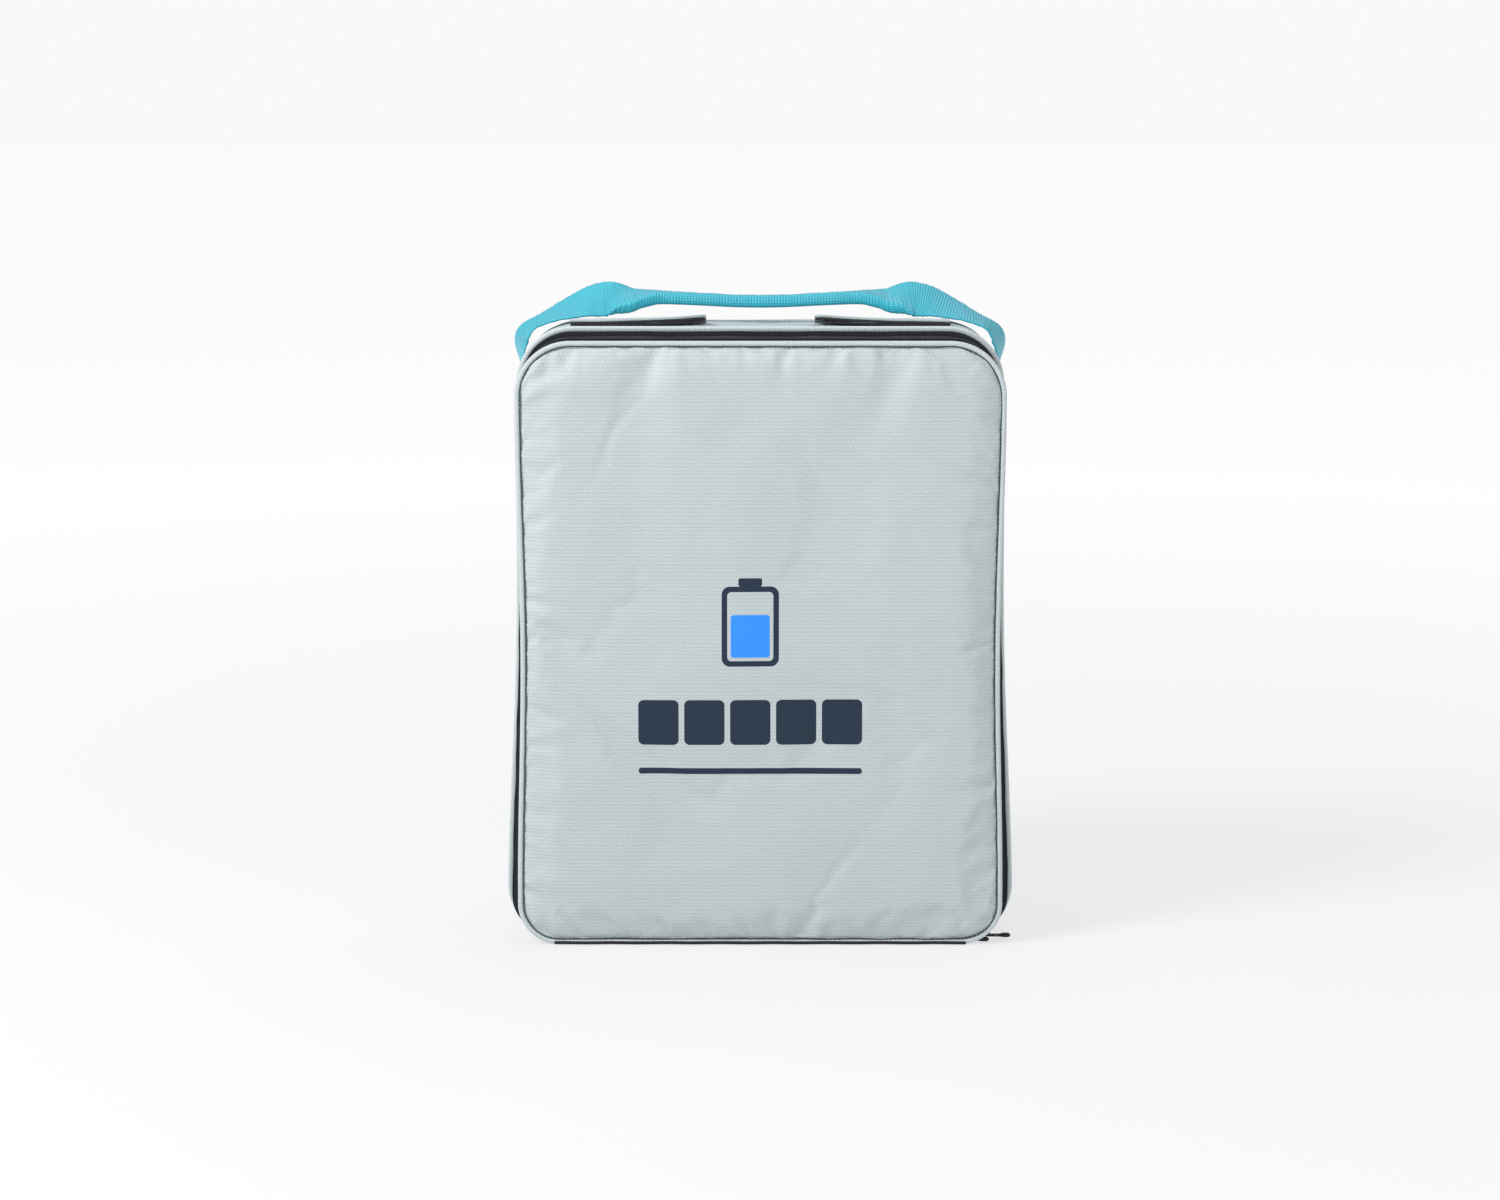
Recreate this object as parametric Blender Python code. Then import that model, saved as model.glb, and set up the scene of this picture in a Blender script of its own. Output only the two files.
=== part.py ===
"""A padded battery bag that stands on its base: fabric walls in three layers, a zipped front panel
that folds down about its bottom seam, a webbing handle, two cable flaps and two zip sliders.

+X is to the right, the front panel faces -Y, +Z is up. The origin is the centre of the flat base."""

import math

import bmesh
import bpy
from mathutils import Matrix, Vector

GAP = 0.0003  # clearance between pieces that touch
ARC_STEPS = 8  # straight pieces in each rounded corner

# Outlines seen from the front: half width low and high, bottom, top, corner radii low and high.
BODY = {"low": 0.184, "high": 0.175, "bottom": 0.0, "top": 0.448, "r_low": 0.032, "r_high": 0.040}
PANEL = {"low": 0.1755, "high": 0.1765, "bottom": 0.0043, "top": 0.4405, "r_low": 0.030, "r_high": 0.040}
ZIP_TRACK = {"low": 0.181, "high": 0.1745, "bottom": 0.006, "top": 0.445, "r_low": 0.028, "r_high": 0.038}
PANEL_TRACK = {"low": 0.1785, "high": 0.1745, "bottom": 0.006, "top": 0.4415, "r_low": 0.028, "r_high": 0.038}

# Wall build-up.
SHELL = 0.002
FELT = 0.005
LINER = 0.0015
PLATE_SHELL = 0.0023

# Planes from front to back.
RIM_Y = -0.056
BACK_Y = 0.072
BINDING_FRONT_Y = -0.060
ZIP_MEET_Y = -0.068
ZIP_FRONT_Y = -0.0758
SEAM_Y = -0.0784  # plane of the front piping, and of the front panel's hinge
PIPING_R = 0.0023
TAPE_WALL = 0.0016  # zip tape

# Cable slots in the top and the flaps over them.
SLOT_X = (0.057, 0.117)
SLOT_Y = (-0.046, -0.036)
FLAP_X = (0.039, 0.136)
FLAP_Y = (-0.055, -0.027)
FLAP_THICK = 0.0016
TAPE_THICK = 0.0013  # hook and loop tape
HOOK_DEPTH = 0.007

# Handle.
HANDLE_PIVOT_Z = 0.390
WEB_THICK = 0.003
HANDLE_HALF_PATH = (
    (0.1792, 0.382), (0.1790, 0.405), (0.1785, 0.424), (0.1765, 0.438), (0.1680, 0.448),
    (0.1500, 0.456), (0.1280, 0.462), (0.1100, 0.4645), (0.0920, 0.4635), (0.0740, 0.4630), (0.0370, 0.4620),
)
LEG_HALF_WIDTH = 0.020
GRIP_HALF_WIDTH = 0.0125
GRIP_REACH = 0.088  # the grip is folded narrow out to here

# Zip: its ends run a little way under the bag, and both sliders park at the lower right.
ZIP_RUN_IN = 0.012
SLIDER_LONG = 0.0095
SLIDER_THICK = 0.004
SLIDER_Y = (-0.074, -0.062)
UPPER_SLIDER_ANGLE = math.radians(-69)  # on the corner of the track, below its centre
LOWER_SLIDER_X = 0.149
PULL_LONG = 0.0185
PULL_WIDE = 0.005
PULL_THICK = 0.0012
PULL_Y = {"upper": -0.0652, "lower": -0.0708}  # side by side, so that they swing past each other


def clear_scene():
    for thing in list(bpy.data.objects):
        bpy.data.objects.remove(thing)


def finish(name, colour, roughness, metallic=0.0):
    made = bpy.data.materials.new(name)
    made.use_nodes = True
    shader = made.node_tree.nodes["Principled BSDF"]
    shader.inputs["Base Color"].default_value = (*colour, 1.0)
    shader.inputs["Roughness"].default_value = roughness
    shader.inputs["Metallic"].default_value = metallic
    return made


def add_object(name, shape, material, pivot=(0, 0, 0)):
    """Puts a bmesh in the scene as one object whose origin is at the pivot."""
    bmesh.ops.recalc_face_normals(shape, faces=shape.faces)
    bmesh.ops.transform(shape, matrix=Matrix.Translation(-Vector(pivot)), verts=shape.verts)
    mesh = bpy.data.meshes.new(name)
    shape.to_mesh(mesh)
    shape.free()
    mesh.materials.append(material)
    made = bpy.data.objects.new(name, mesh)
    made.location = pivot
    bpy.context.scene.collection.objects.link(made)
    return made


def add_pivot(name, place):
    pivot = bpy.data.objects.new(name, None)
    pivot.location = place
    bpy.context.scene.collection.objects.link(pivot)
    return pivot


def hang_on(pivot, *pieces):
    """Parents pieces to a pivot without moving them."""
    for piece in pieces:
        piece.parent = pivot
        piece.matrix_parent_inverse = Matrix.Translation(-pivot.location)


def corner(centre_x, centre_z, radius, start, end):
    """Points along an arc, from one angle to another in degrees, both included."""
    for step in range(ARC_STEPS + 1):
        angle = math.radians(start + (end - start) * step / ARC_STEPS)
        yield centre_x + radius * math.cos(angle), centre_z + radius * math.sin(angle)


def outline(of, inset=0.0, low_end=0.0):
    """The outline from the lower left corner, clockwise over the top, to the lower right corner.

    low_end is how many degrees short of the bottom it starts and stops, for a strip that stays open."""
    low_x = of["low"] - of["r_low"]
    high_x = of["high"] - of["r_high"]
    low_z = of["bottom"] + of["r_low"]
    high_z = of["top"] - of["r_high"]
    low_r = of["r_low"] - inset
    high_r = of["r_high"] - inset
    points = list(corner(-low_x, low_z, low_r, 270 - low_end, 180))
    points += corner(-high_x, high_z, high_r, 180, 90)
    points += corner(high_x, high_z, high_r, 90, 0)
    points += corner(low_x, low_z, low_r, 0, low_end - 90)
    return points


def with_run_in(points, length):
    """An open outline with both ends carried on along the bottom."""
    first = (points[0][0] + length, points[0][1])
    last = (points[-1][0] - length, points[-1][1])
    return [first, *points, last]


def make_plate(name, points, front, back, material):
    """A flat plate of this outline between two planes."""
    shape = bmesh.new()
    ends = [[shape.verts.new((x, y, z)) for x, z in points] for y in (front, back)]
    for ring in ends:
        shape.faces.new(ring)
    for here in range(len(points)):
        after = (here + 1) % len(points)
        shape.faces.new((ends[0][here], ends[0][after], ends[1][after], ends[1][here]))
    return add_object(name, shape, material)


def make_strip(name, outside, inside, front, back, material, closed=True):
    """A band between two outlines: a whole ring, or open at both ends."""
    shape = bmesh.new()
    rows = [
        [shape.verts.new((x, y, z)) for (x, z), y in ((out, front), (out, back), (inn, back), (inn, front))]
        for out, inn in zip(outside, inside)
    ]
    pairs = list(zip(rows, rows[1:]))
    if closed:
        pairs.append((rows[-1], rows[0]))
    else:
        shape.faces.new(rows[0])
        shape.faces.new(rows[-1])
    for row, after in pairs:
        for side in range(4):
            turn = (side + 1) % 4
            shape.faces.new((row[side], row[turn], after[turn], after[side]))
    return add_object(name, shape, material)


def make_block(name, low, high, material, bevel=0.0, pivot=(0, 0, 0), turn=None):
    """A box between two corners, with rounded edges if bevel is set, and turned first if turn is set."""
    shape = bmesh.new()
    size = [b - a for a, b in zip(low, high)]
    middle = [(a + b) / 2 for a, b in zip(low, high)]
    place = Matrix.Translation(middle) @ Matrix.Diagonal((*size, 1.0))
    bmesh.ops.create_cube(shape, size=1.0, matrix=place)
    if bevel:
        bmesh.ops.bevel(shape, geom=list(shape.edges), offset=bevel, segments=2, profile=0.5, affect="EDGES")
    if turn:
        bmesh.ops.transform(shape, matrix=turn, verts=shape.verts)
    return add_object(name, shape, material, pivot)


def make_piping(name, points, plane, material):
    """A round cord along a closed outline, at its centre."""
    curve = bpy.data.curves.new(name, "CURVE")
    curve.dimensions = "3D"
    curve.bevel_depth = PIPING_R
    curve.bevel_resolution = 2
    spline = curve.splines.new("POLY")
    spline.points.add(len(points) - 1)
    for point, (x, z) in zip(spline.points, points):
        point.co = (x, plane, z, 1.0)
    spline.use_cyclic_u = True
    curve.materials.append(material)
    made = bpy.data.objects.new(name, curve)
    bpy.context.scene.collection.objects.link(made)
    return made


def spaced(points, step):
    """The same closed outline, with a point at least every step along its straight sides."""
    dense = []
    for here, after in zip(points, points[1:] + points[:1]):
        count = max(1, round(math.dist(here, after) / step))
        for part in range(count):
            share = part / count
            dense.append(tuple(a + (b - a) * share for a, b in zip(here, after)))
    return dense


def smooth_path(points, parts=4):
    """A Catmull-Rom curve through points."""
    padded = [points[0], *points, points[-1]]
    path = []
    for a, b, c, d in zip(padded, padded[1:], padded[2:], padded[3:]):
        for part in range(parts):
            t = part / parts
            path.append(tuple(
                0.5 * (2 * q + (r - p) * t + (2 * p - 5 * q + 4 * r - s) * t**2 + (3 * q - p - 3 * r + s) * t**3)
                for p, q, r, s in zip(a, b, c, d)
            ))
    return path + [points[-1]]


def make_walls(colour):
    """Side, top and base walls: outer fabric, felt and liner."""
    outside = outline(BODY)
    inside = outline(BODY, SHELL)
    half = len(outside) // 2
    make_strip("side_wall_left", outside[:half], inside[:half], RIM_Y, BACK_Y, colour["grey"], closed=False)
    make_strip("side_wall_right", outside[half:], inside[half:], RIM_Y, BACK_Y, colour["grey"], closed=False)
    flat_low = BODY["low"] - BODY["r_low"] - GAP
    flat_high = BODY["high"] - BODY["r_high"] - GAP
    make_block("base_panel", (-flat_low, RIM_Y, 0.0), (flat_low, BACK_Y, SHELL), colour["grey"])
    top = make_block(
        "top_panel", (-flat_high, RIM_Y, BODY["top"] - SHELL), (flat_high, BACK_Y, BODY["top"]), colour["grey"])
    felt_in = SHELL + GAP
    liner_in = felt_in + FELT + GAP
    inner_back = BACK_Y - FELT - LINER - 3 * GAP
    felt = make_strip(
        "gusset_insulation", outline(BODY, felt_in), outline(BODY, felt_in + FELT), RIM_Y, inner_back,
        colour["felt"])
    liner = make_strip(
        "gusset_liner", outline(BODY, liner_in), outline(BODY, liner_in + LINER), RIM_Y, inner_back,
        colour["liner"])
    for side in (-1, 1):
        cutter = cut_slot(side)
        for wall in (top, felt, liner):
            hole = wall.modifiers.new("cable_slot", "BOOLEAN")
            hole.operation = "DIFFERENCE"
            hole.object = cutter


def cut_slot(side):
    """The cutter of one cable slot through the three layers of the top."""
    edges = sorted(side * x for x in SLOT_X)
    low = (edges[0], SLOT_Y[0], BODY["top"] - 0.02)
    high = (edges[1], SLOT_Y[1], BODY["top"] + 0.01)
    cutter = make_block(f"slot_cutter_{'left' if side < 0 else 'right'}", low, high, None)
    cutter.hide_render = True
    cutter.display_type = "WIRE"
    return cutter


def make_back(colour):
    """Back wall and the piping around its edge."""
    inside = outline(BODY, SHELL + GAP)
    felt_back = BACK_Y
    liner_back = felt_back - FELT - GAP
    make_plate("back_outer", outline(BODY, 0.0006), BACK_Y + GAP, BACK_Y + PLATE_SHELL, colour["grey"])
    make_plate("back_insulation", inside, felt_back - FELT, felt_back, colour["felt"])
    make_plate("back_liner", inside, liner_back - LINER, liner_back, colour["liner"])
    cord = spaced(outline(BODY, 2 * PIPING_R), 0.03)
    make_piping("back_piping", cord, BACK_Y + PLATE_SHELL + GAP + PIPING_R, colour["piping"])


def make_zip_body(colour):
    """What the zip is sewn to on the body's side, and the fabric hinge under the front panel."""
    binding_end = 6  # degrees of the lower corners left free of binding
    make_strip(
        "rim_binding", outline(BODY, 0.0003, binding_end), outline(BODY, 0.0033, binding_end),
        BINDING_FRONT_Y, RIM_Y - GAP, colour["binding"], closed=False)
    make_strip(
        "zip_tape_body", with_run_in(outline(ZIP_TRACK), ZIP_RUN_IN),
        with_run_in(outline(ZIP_TRACK, TAPE_WALL), ZIP_RUN_IN),
        ZIP_MEET_Y + GAP / 2, BINDING_FRONT_Y - GAP, colour["zip"], closed=False)
    zip_end = ZIP_TRACK["low"] - ZIP_TRACK["r_low"] - ZIP_RUN_IN
    strip_end = zip_end - 0.006
    bottom = ZIP_TRACK["bottom"]
    make_block(
        "hinge_strip", (-strip_end, SEAM_Y + PIPING_R + GAP, bottom), (strip_end, RIM_Y - GAP, bottom + 0.0015),
        colour["zip"])
    for side, name in ((-1, "left"), (1, "right")):
        edges = sorted(side * x for x in (strip_end - 0.004, zip_end + 0.001))
        make_block(
            f"zip_end_tab_{name}", (edges[0], SLIDER_Y[0], bottom - GAP - 0.002),
            (edges[1], SLIDER_Y[1], bottom - GAP), colour["zip"], bevel=0.0005)


def make_front_panel(colour):
    """The padded front panel with its piping and its half of the zip, on the hinge along its bottom."""
    inside = outline(PANEL, 2 * PIPING_R + GAP)
    shell_back = SEAM_Y - 0.0002
    felt_front = shell_back + GAP
    felt_back = felt_front + FELT
    liner_front = felt_back + GAP
    pieces = [
        make_plate("panel_outer", inside, shell_back - PLATE_SHELL, shell_back, colour["panel"]),
        make_plate("panel_insulation", inside, felt_front, felt_back, colour["felt"]),
        make_plate("panel_liner", inside, liner_front, liner_front + LINER, colour["liner"]),
        make_piping("panel_piping", spaced(outline(PANEL, PIPING_R), 0.03), SEAM_Y, colour["piping"]),
        make_strip(
            "zip_tape_panel", with_run_in(outline(PANEL_TRACK), ZIP_RUN_IN),
            with_run_in(outline(PANEL_TRACK, TAPE_WALL), ZIP_RUN_IN),
            ZIP_FRONT_Y, ZIP_MEET_Y - GAP / 2, colour["zip"], closed=False),
    ]
    hinge = add_pivot("front_panel_hinge", (0.0, SEAM_Y, PANEL["bottom"] + PIPING_R))
    hang_on(hinge, *pieces)


def make_cable_flap(side, name, colour):
    """A flap over a cable slot, sewn along its rear edge and closed by hook tape along its front."""
    edges = sorted(side * x for x in FLAP_X)
    loop_low = BODY["top"] + GAP
    hook_low = loop_low + TAPE_THICK + GAP
    flap_low = hook_low + TAPE_THICK + GAP
    front = FLAP_Y[0]
    make_block(
        f"loop_strip_{name}", (edges[0], front, loop_low), (edges[1], front + HOOK_DEPTH, loop_low + TAPE_THICK),
        colour["hook"], bevel=0.0003)
    hook = make_block(
        f"hook_strip_{name}", (edges[0], front, hook_low), (edges[1], front + HOOK_DEPTH, hook_low + TAPE_THICK),
        colour["hook"], bevel=0.0003)
    flap = make_block(
        f"cable_flap_{name}", (edges[0], front, flap_low), (edges[1], FLAP_Y[1], flap_low + FLAP_THICK),
        colour["grey"], bevel=0.0004)
    hinge = add_pivot(f"cable_flap_{name}_hinge", (sum(edges) / 2, FLAP_Y[1], flap_low + FLAP_THICK / 2))
    hang_on(hinge, hook, flap)


def make_handle(colour):
    """The webbing handle: wide legs outside their sewn ends, narrow where the grip is folded."""
    half = smooth_path(HANDLE_HALF_PATH)
    path = [(-x, z) for x, z in half] + [(x, z) for x, z in reversed(half)]
    shape = bmesh.new()
    rows = []
    for here, (x, z) in enumerate(path):
        before = path[max(here - 1, 0)]
        after = path[min(here + 1, len(path) - 1)]
        along = Vector((after[0] - before[0], after[1] - before[1])).normalized()
        out = Vector((-along.y, along.x)) * WEB_THICK / 2
        share = min(1.0, max(0.0, (abs(x) - GRIP_REACH) / (BODY["high"] - GRIP_REACH)))
        wide = GRIP_HALF_WIDTH + (LEG_HALF_WIDTH - GRIP_HALF_WIDTH) * share
        rows.append([
            shape.verts.new((x + sign * out.x, y, z + sign * out.y))
            for sign, y in ((1, -wide), (1, wide), (-1, wide), (-1, -wide))
        ])
    shape.faces.new(rows[0])
    shape.faces.new(rows[-1])
    for row, after in zip(rows, rows[1:]):
        for side in range(4):
            turn = (side + 1) % 4
            shape.faces.new((row[side], row[turn], after[turn], after[side]))
    add_object("handle_webbing", shape, colour["webbing"], (0.0, 0.0, HANDLE_PIVOT_Z))


def make_handle_end(side, name, colour):
    """The end of the handle's webbing that is sewn flat on the side wall."""
    rise = (BODY["high"] - BODY["low"]) / (BODY["top"] - BODY["r_high"] - BODY["r_low"])
    low, high = 0.325, 0.388
    thick = 0.0013
    shape = bmesh.new()
    corners = []
    for y in (-LEG_HALF_WIDTH, LEG_HALF_WIDTH):
        for z, reach in ((low, GAP), (high, GAP), (high, GAP + thick), (low, GAP + thick)):
            wall = BODY["low"] + rise * (z - BODY["r_low"])
            corners.append(shape.verts.new((side * (wall + reach), y, z)))
    shape.faces.new(corners[:4])
    shape.faces.new(corners[4:])
    for edge in range(4):
        turn = (edge + 1) % 4
        shape.faces.new((corners[edge], corners[turn], corners[4 + turn], corners[4 + edge]))
    add_object(f"handle_end_{name}", shape, colour["webbing"])


def make_pull(which, hinge, slider, colour):
    """A pull tab that points right from its hinge on a slider."""
    hinge.y = PULL_Y[which]
    pull = make_block(
        f"zip_pull_{which}", (hinge.x - PULL_THICK / 2, hinge.y - PULL_WIDE / 2, hinge.z - PULL_THICK / 2),
        (hinge.x + PULL_LONG, hinge.y + PULL_WIDE / 2, hinge.z + PULL_THICK / 2), colour["metal"],
        bevel=0.0004, pivot=hinge)
    hang_on(slider, pull)


def make_lower_slider(colour):
    """The slider that stands at the end of the zip, under the bag."""
    top = ZIP_TRACK["bottom"] - GAP
    ends = (LOWER_SLIDER_X - SLIDER_LONG / 2, LOWER_SLIDER_X + SLIDER_LONG / 2)
    slider = make_block(
        "zip_slider_lower", (ends[0], SLIDER_Y[0], top - SLIDER_THICK), (ends[1], SLIDER_Y[1], top),
        colour["zip"], bevel=0.0008)
    hinge = Vector((LOWER_SLIDER_X, 0.0, top - SLIDER_THICK - GAP - PULL_THICK / 2))
    make_pull("lower", hinge, slider, colour)


def make_upper_slider(colour):
    """The slider on the corner of the track, which turns about the corner's centre as it travels."""
    radius = ZIP_TRACK["r_low"]
    centre = Vector((ZIP_TRACK["low"] - radius, 0.0, ZIP_TRACK["bottom"] + radius))
    inner = radius + GAP
    outer = inner + SLIDER_THICK
    turn = Matrix.Translation(centre) @ Matrix.Rotation(-UPPER_SLIDER_ANGLE, 4, "Y")
    slider = make_block(
        "zip_slider_upper", (inner, SLIDER_Y[0], -SLIDER_LONG / 2), (outer, SLIDER_Y[1], SLIDER_LONG / 2),
        colour["zip"], bevel=0.0008, pivot=centre, turn=turn)
    reach = outer + GAP + PULL_THICK
    hinge = centre + Vector((math.cos(UPPER_SLIDER_ANGLE), 0.0, math.sin(UPPER_SLIDER_ANGLE))) * reach
    make_pull("upper", hinge, slider, colour)


def main():
    clear_scene()
    colour = {
        "panel": finish("panel_fabric", (0.56, 0.63, 0.65), 0.55),
        "grey": finish("wall_fabric", (0.38, 0.44, 0.47), 0.65),
        "felt": finish("insulation_felt", (0.75, 0.73, 0.68), 0.95),
        "liner": finish("liner_cloth", (0.62, 0.64, 0.62), 0.5),
        "piping": finish("piping_ribbon", (0.60, 0.63, 0.66), 0.6),
        "binding": finish("binding_ribbon", (0.55, 0.58, 0.60), 0.7),
        "zip": finish("zip_tape", (0.025, 0.027, 0.032), 0.6),
        "hook": finish("hook_and_loop", (0.012, 0.012, 0.013), 0.9),
        "webbing": finish("handle_webbing", (0.02, 0.45, 0.60), 0.6),
        "metal": finish("zip_metal", (0.06, 0.06, 0.065), 0.35, 1.0),
    }
    make_walls(colour)
    make_back(colour)
    make_zip_body(colour)
    make_front_panel(colour)
    make_handle(colour)
    for side, name in ((-1, "left"), (1, "right")):
        make_cable_flap(side, name, colour)
        make_handle_end(side, name, colour)
    make_lower_slider(colour)
    make_upper_slider(colour)


main()
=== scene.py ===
"""Looks of a padded battery bag: cloth, piping, zip, webbing handle, flaps, quilted lining and materials.

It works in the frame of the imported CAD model, in metres: +X right, the front faces -Y, +Z up."""

import math
import random

import bmesh
import bpy
import numpy as np
from mathutils import Matrix, Vector, noise


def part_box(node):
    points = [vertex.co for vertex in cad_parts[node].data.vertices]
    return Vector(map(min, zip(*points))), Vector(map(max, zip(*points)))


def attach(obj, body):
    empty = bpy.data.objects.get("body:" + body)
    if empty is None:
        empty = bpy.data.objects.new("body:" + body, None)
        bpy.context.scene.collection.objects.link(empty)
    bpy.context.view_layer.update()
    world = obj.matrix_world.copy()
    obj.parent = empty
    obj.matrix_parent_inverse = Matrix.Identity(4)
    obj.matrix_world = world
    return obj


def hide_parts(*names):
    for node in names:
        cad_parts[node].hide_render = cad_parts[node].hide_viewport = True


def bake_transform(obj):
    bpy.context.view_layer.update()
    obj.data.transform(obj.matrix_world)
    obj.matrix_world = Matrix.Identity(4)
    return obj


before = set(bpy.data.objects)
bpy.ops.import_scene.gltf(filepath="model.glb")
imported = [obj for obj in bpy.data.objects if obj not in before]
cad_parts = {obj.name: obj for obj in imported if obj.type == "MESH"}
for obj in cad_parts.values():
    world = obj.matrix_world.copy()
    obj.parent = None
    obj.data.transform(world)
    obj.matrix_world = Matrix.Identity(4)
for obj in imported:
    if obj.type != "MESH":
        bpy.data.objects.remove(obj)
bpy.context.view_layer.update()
noise.seed_set(11)  # a fixed start for noise_vector, which would otherwise take the clock's

# Planes of the bag from front to back, read from the frame.
SEAM_Y = (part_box("panel_piping")[0].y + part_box("panel_piping")[1].y) / 2
ZIP_FRONT_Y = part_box("zip_tape_panel")[0].y
ZIP_MEET_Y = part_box("zip_tape_panel")[1].y
BINDING_FRONT_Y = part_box("rim_binding")[0].y
RIM_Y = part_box("top_panel")[0].y
BACK_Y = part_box("top_panel")[1].y
BODY_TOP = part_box("top_panel")[1].z

PIPING_R = 0.0020  # half the thickness of the piping
CELL = 0.0026  # mesh size of the cloth
CLOTH_CREASE = 50
METAL_CREASE = 40
BACK_DROP = 0.004  # how much lower the top is at the back
SHELL = 0.0018  # thickness of the walls' cloth
GAP = 0.0003  # room between two pieces


class Outline:
    """A rounded outline seen from the front, with its own half width and corner radius low and high."""

    def __init__(self, low, high, bottom, top, r_low, r_high, waist=0.0):
        self.low = low
        self.high = high
        self.bottom = bottom
        self.top = top
        self.r_low = r_low
        self.r_high = r_high
        self.waist = waist  # how far each side bows in half way up
        self.low_z = bottom + r_low
        self.high_z = top - r_high

    def changed(self, inset=0.0, bottom=0.0, top=0.0):
        """The same outline, smaller by inset all round, with its bottom and its top moved up."""
        return Outline(self.low - inset, self.high - inset, self.bottom + inset + bottom,
                       self.top - inset + top, self.r_low - inset, self.r_high - inset, self.waist)

    def side(self, z):
        """The half width at a height between the corners."""
        share = min(1.0, max(0.0, (z - self.low_z) / (self.high_z - self.low_z)))
        return self.low + (self.high - self.low) * share - self.waist * math.sin(math.pi * share) ** 2

    def centres(self):
        """Centre x, centre z, radius and first angle of each corner, from the lower right upwards."""
        low_x = self.low - self.r_low
        high_x = self.high - self.r_high
        return ((low_x, self.low_z, self.r_low, 270), (high_x, self.high_z, self.r_high, 0),
                (-high_x, self.high_z, self.r_high, 90), (-low_x, self.low_z, self.r_low, 180))

    def dense(self, arc_steps=32):
        """The outline from the middle of its bottom, counter-clockwise, closed."""
        points = [(0.0, self.bottom)]
        high = self.high_z - self.low_z
        rises = [self.low_z + high * step / arc_steps for step in range(1, arc_steps)]
        for number, (x, z, radius, first) in enumerate(self.centres()):
            for step in range(arc_steps + 1):
                angle = math.radians(first + 90 * step / arc_steps)
                points.append((x + radius * math.cos(angle), z + radius * math.sin(angle)))
            if number == 0:
                points += [(self.side(rise), rise) for rise in rises]
            if number == 2:
                points += [(-self.side(rise), rise) for rise in reversed(rises)]
        return np.array(points + [points[0]])

    def run(self, step, open_half=0.0):
        """Places, outward normals and lengths at even steps. open_half is half of the bottom left open."""
        dense = self.dense()
        total = line_lengths(dense)[-1]
        count = round((total - 2 * open_half) / step)
        if open_half:
            at = np.linspace(open_half, total - open_half, count)
        else:
            at = np.arange(count) * total / count
        along = points_along(dense, (at + step / 2) % total) - points_along(dense, (at - step / 2) % total)
        along /= np.linalg.norm(along, axis=1)[:, None]
        normals = np.stack([along[:, 1], -along[:, 0]], axis=1)
        return points_along(dense, at), normals, at


def line_lengths(line):
    """The distance along a line to each of its points."""
    return np.concatenate([[0], np.cumsum(np.linalg.norm(np.diff(line, axis=0), axis=1))])


def points_along(line, at):
    """The points of a line at given distances from its start."""
    lengths = line_lengths(line)
    return np.stack([np.interp(at, lengths, line[:, k]) for k in (0, 1)], axis=1)


BODY = Outline(0.184, 0.1738, 0.0, BODY_TOP, 0.040, 0.040, 0.0030)
BODY_BACK = BODY.changed(top=-BACK_DROP)
PANEL = Outline(0.1764, 0.1752, 0.0022, 0.4400, 0.030, 0.040, 0.0032)
ZIP_TRACK = Outline(0.181, 0.1700, 0.006, 0.4455, 0.028, 0.036, 0.0015)
PANEL_TRACK = Outline(0.1785, 0.1700, 0.006, 0.4420, 0.028, 0.036, 0.0015)
ZIP_RUN_IN = 0.012  # how far the zip goes on along the bottom past each corner
BOTTOM_TUCK = 0.0024  # how far the weight of the panel presses its bottom seam down
MOST_SINK = 0.0006  # how far settled cloth may go back towards its seam
SETTLE_FRAMES = 20
PIPING_ROOM = 0.0028  # room that the panel's piping needs at the zip's ends, when the panel lies open


# ---------------------------------------------------------------- mesh tools

def link(name, data):
    """A new object in the scene."""
    made = bpy.data.objects.new(name, data)
    bpy.context.scene.collection.objects.link(made)
    return made


def smooth(mesh, crease):
    """Smooth shading but for the edges that are sharper than crease, in degrees."""
    mesh.polygons.foreach_set("use_smooth", [True] * len(mesh.polygons))
    mesh.set_sharp_from_angle(angle=math.radians(crease))


def add_mesh(name, points, faces, material, weave=None):
    """One closed piece. weave gives each point's place along and across the cloth, for its material."""
    mesh = bpy.data.meshes.new(name)
    mesh.from_pydata([tuple(map(float, point)) for point in points], [], faces)
    if weave is not None:
        lay = mesh.attributes.new("weave", "FLOAT_VECTOR", "POINT")
        values = np.zeros((len(points), 3), np.float32)
        values[:, :2] = np.asarray(weave)[:, :2]
        lay.data.foreach_set("vector", values.ravel())
    shape = bmesh.new()
    shape.from_mesh(mesh)
    bmesh.ops.recalc_face_normals(shape, faces=shape.faces)
    shape.to_mesh(mesh)
    shape.free()
    smooth(mesh, CLOTH_CREASE)
    mesh.materials.append(material)
    return link(name, mesh)


def place_piece(piece, body, slot, *nodes):
    """Puts a finished piece on its body and in place of its CAD nodes. slot is not used."""
    if body:
        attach(piece, body)
    if nodes:
        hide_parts(*nodes)
    return piece


def apply_modifiers(piece):
    """Makes what the piece's modifiers give its own mesh."""
    graph = bpy.context.evaluated_depsgraph_get()
    made = bpy.data.meshes.new_from_object(piece.evaluated_get(graph))
    piece.modifiers.clear()
    piece.data = made


def tube_faces(count, size, closed):
    """The faces of a tube of count sections with size points each. It has end caps unless it is closed."""
    faces = []
    for here in range(count if closed else count - 1):
        after = (here + 1) % count
        for k in range(size):
            turn = (k + 1) % size
            faces.append((here * size + k, here * size + turn, after * size + turn, after * size + k))
    if not closed:
        faces.append(tuple(range(size)))
        faces.append(tuple(range((count - 1) * size, count * size)))
    return faces


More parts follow.
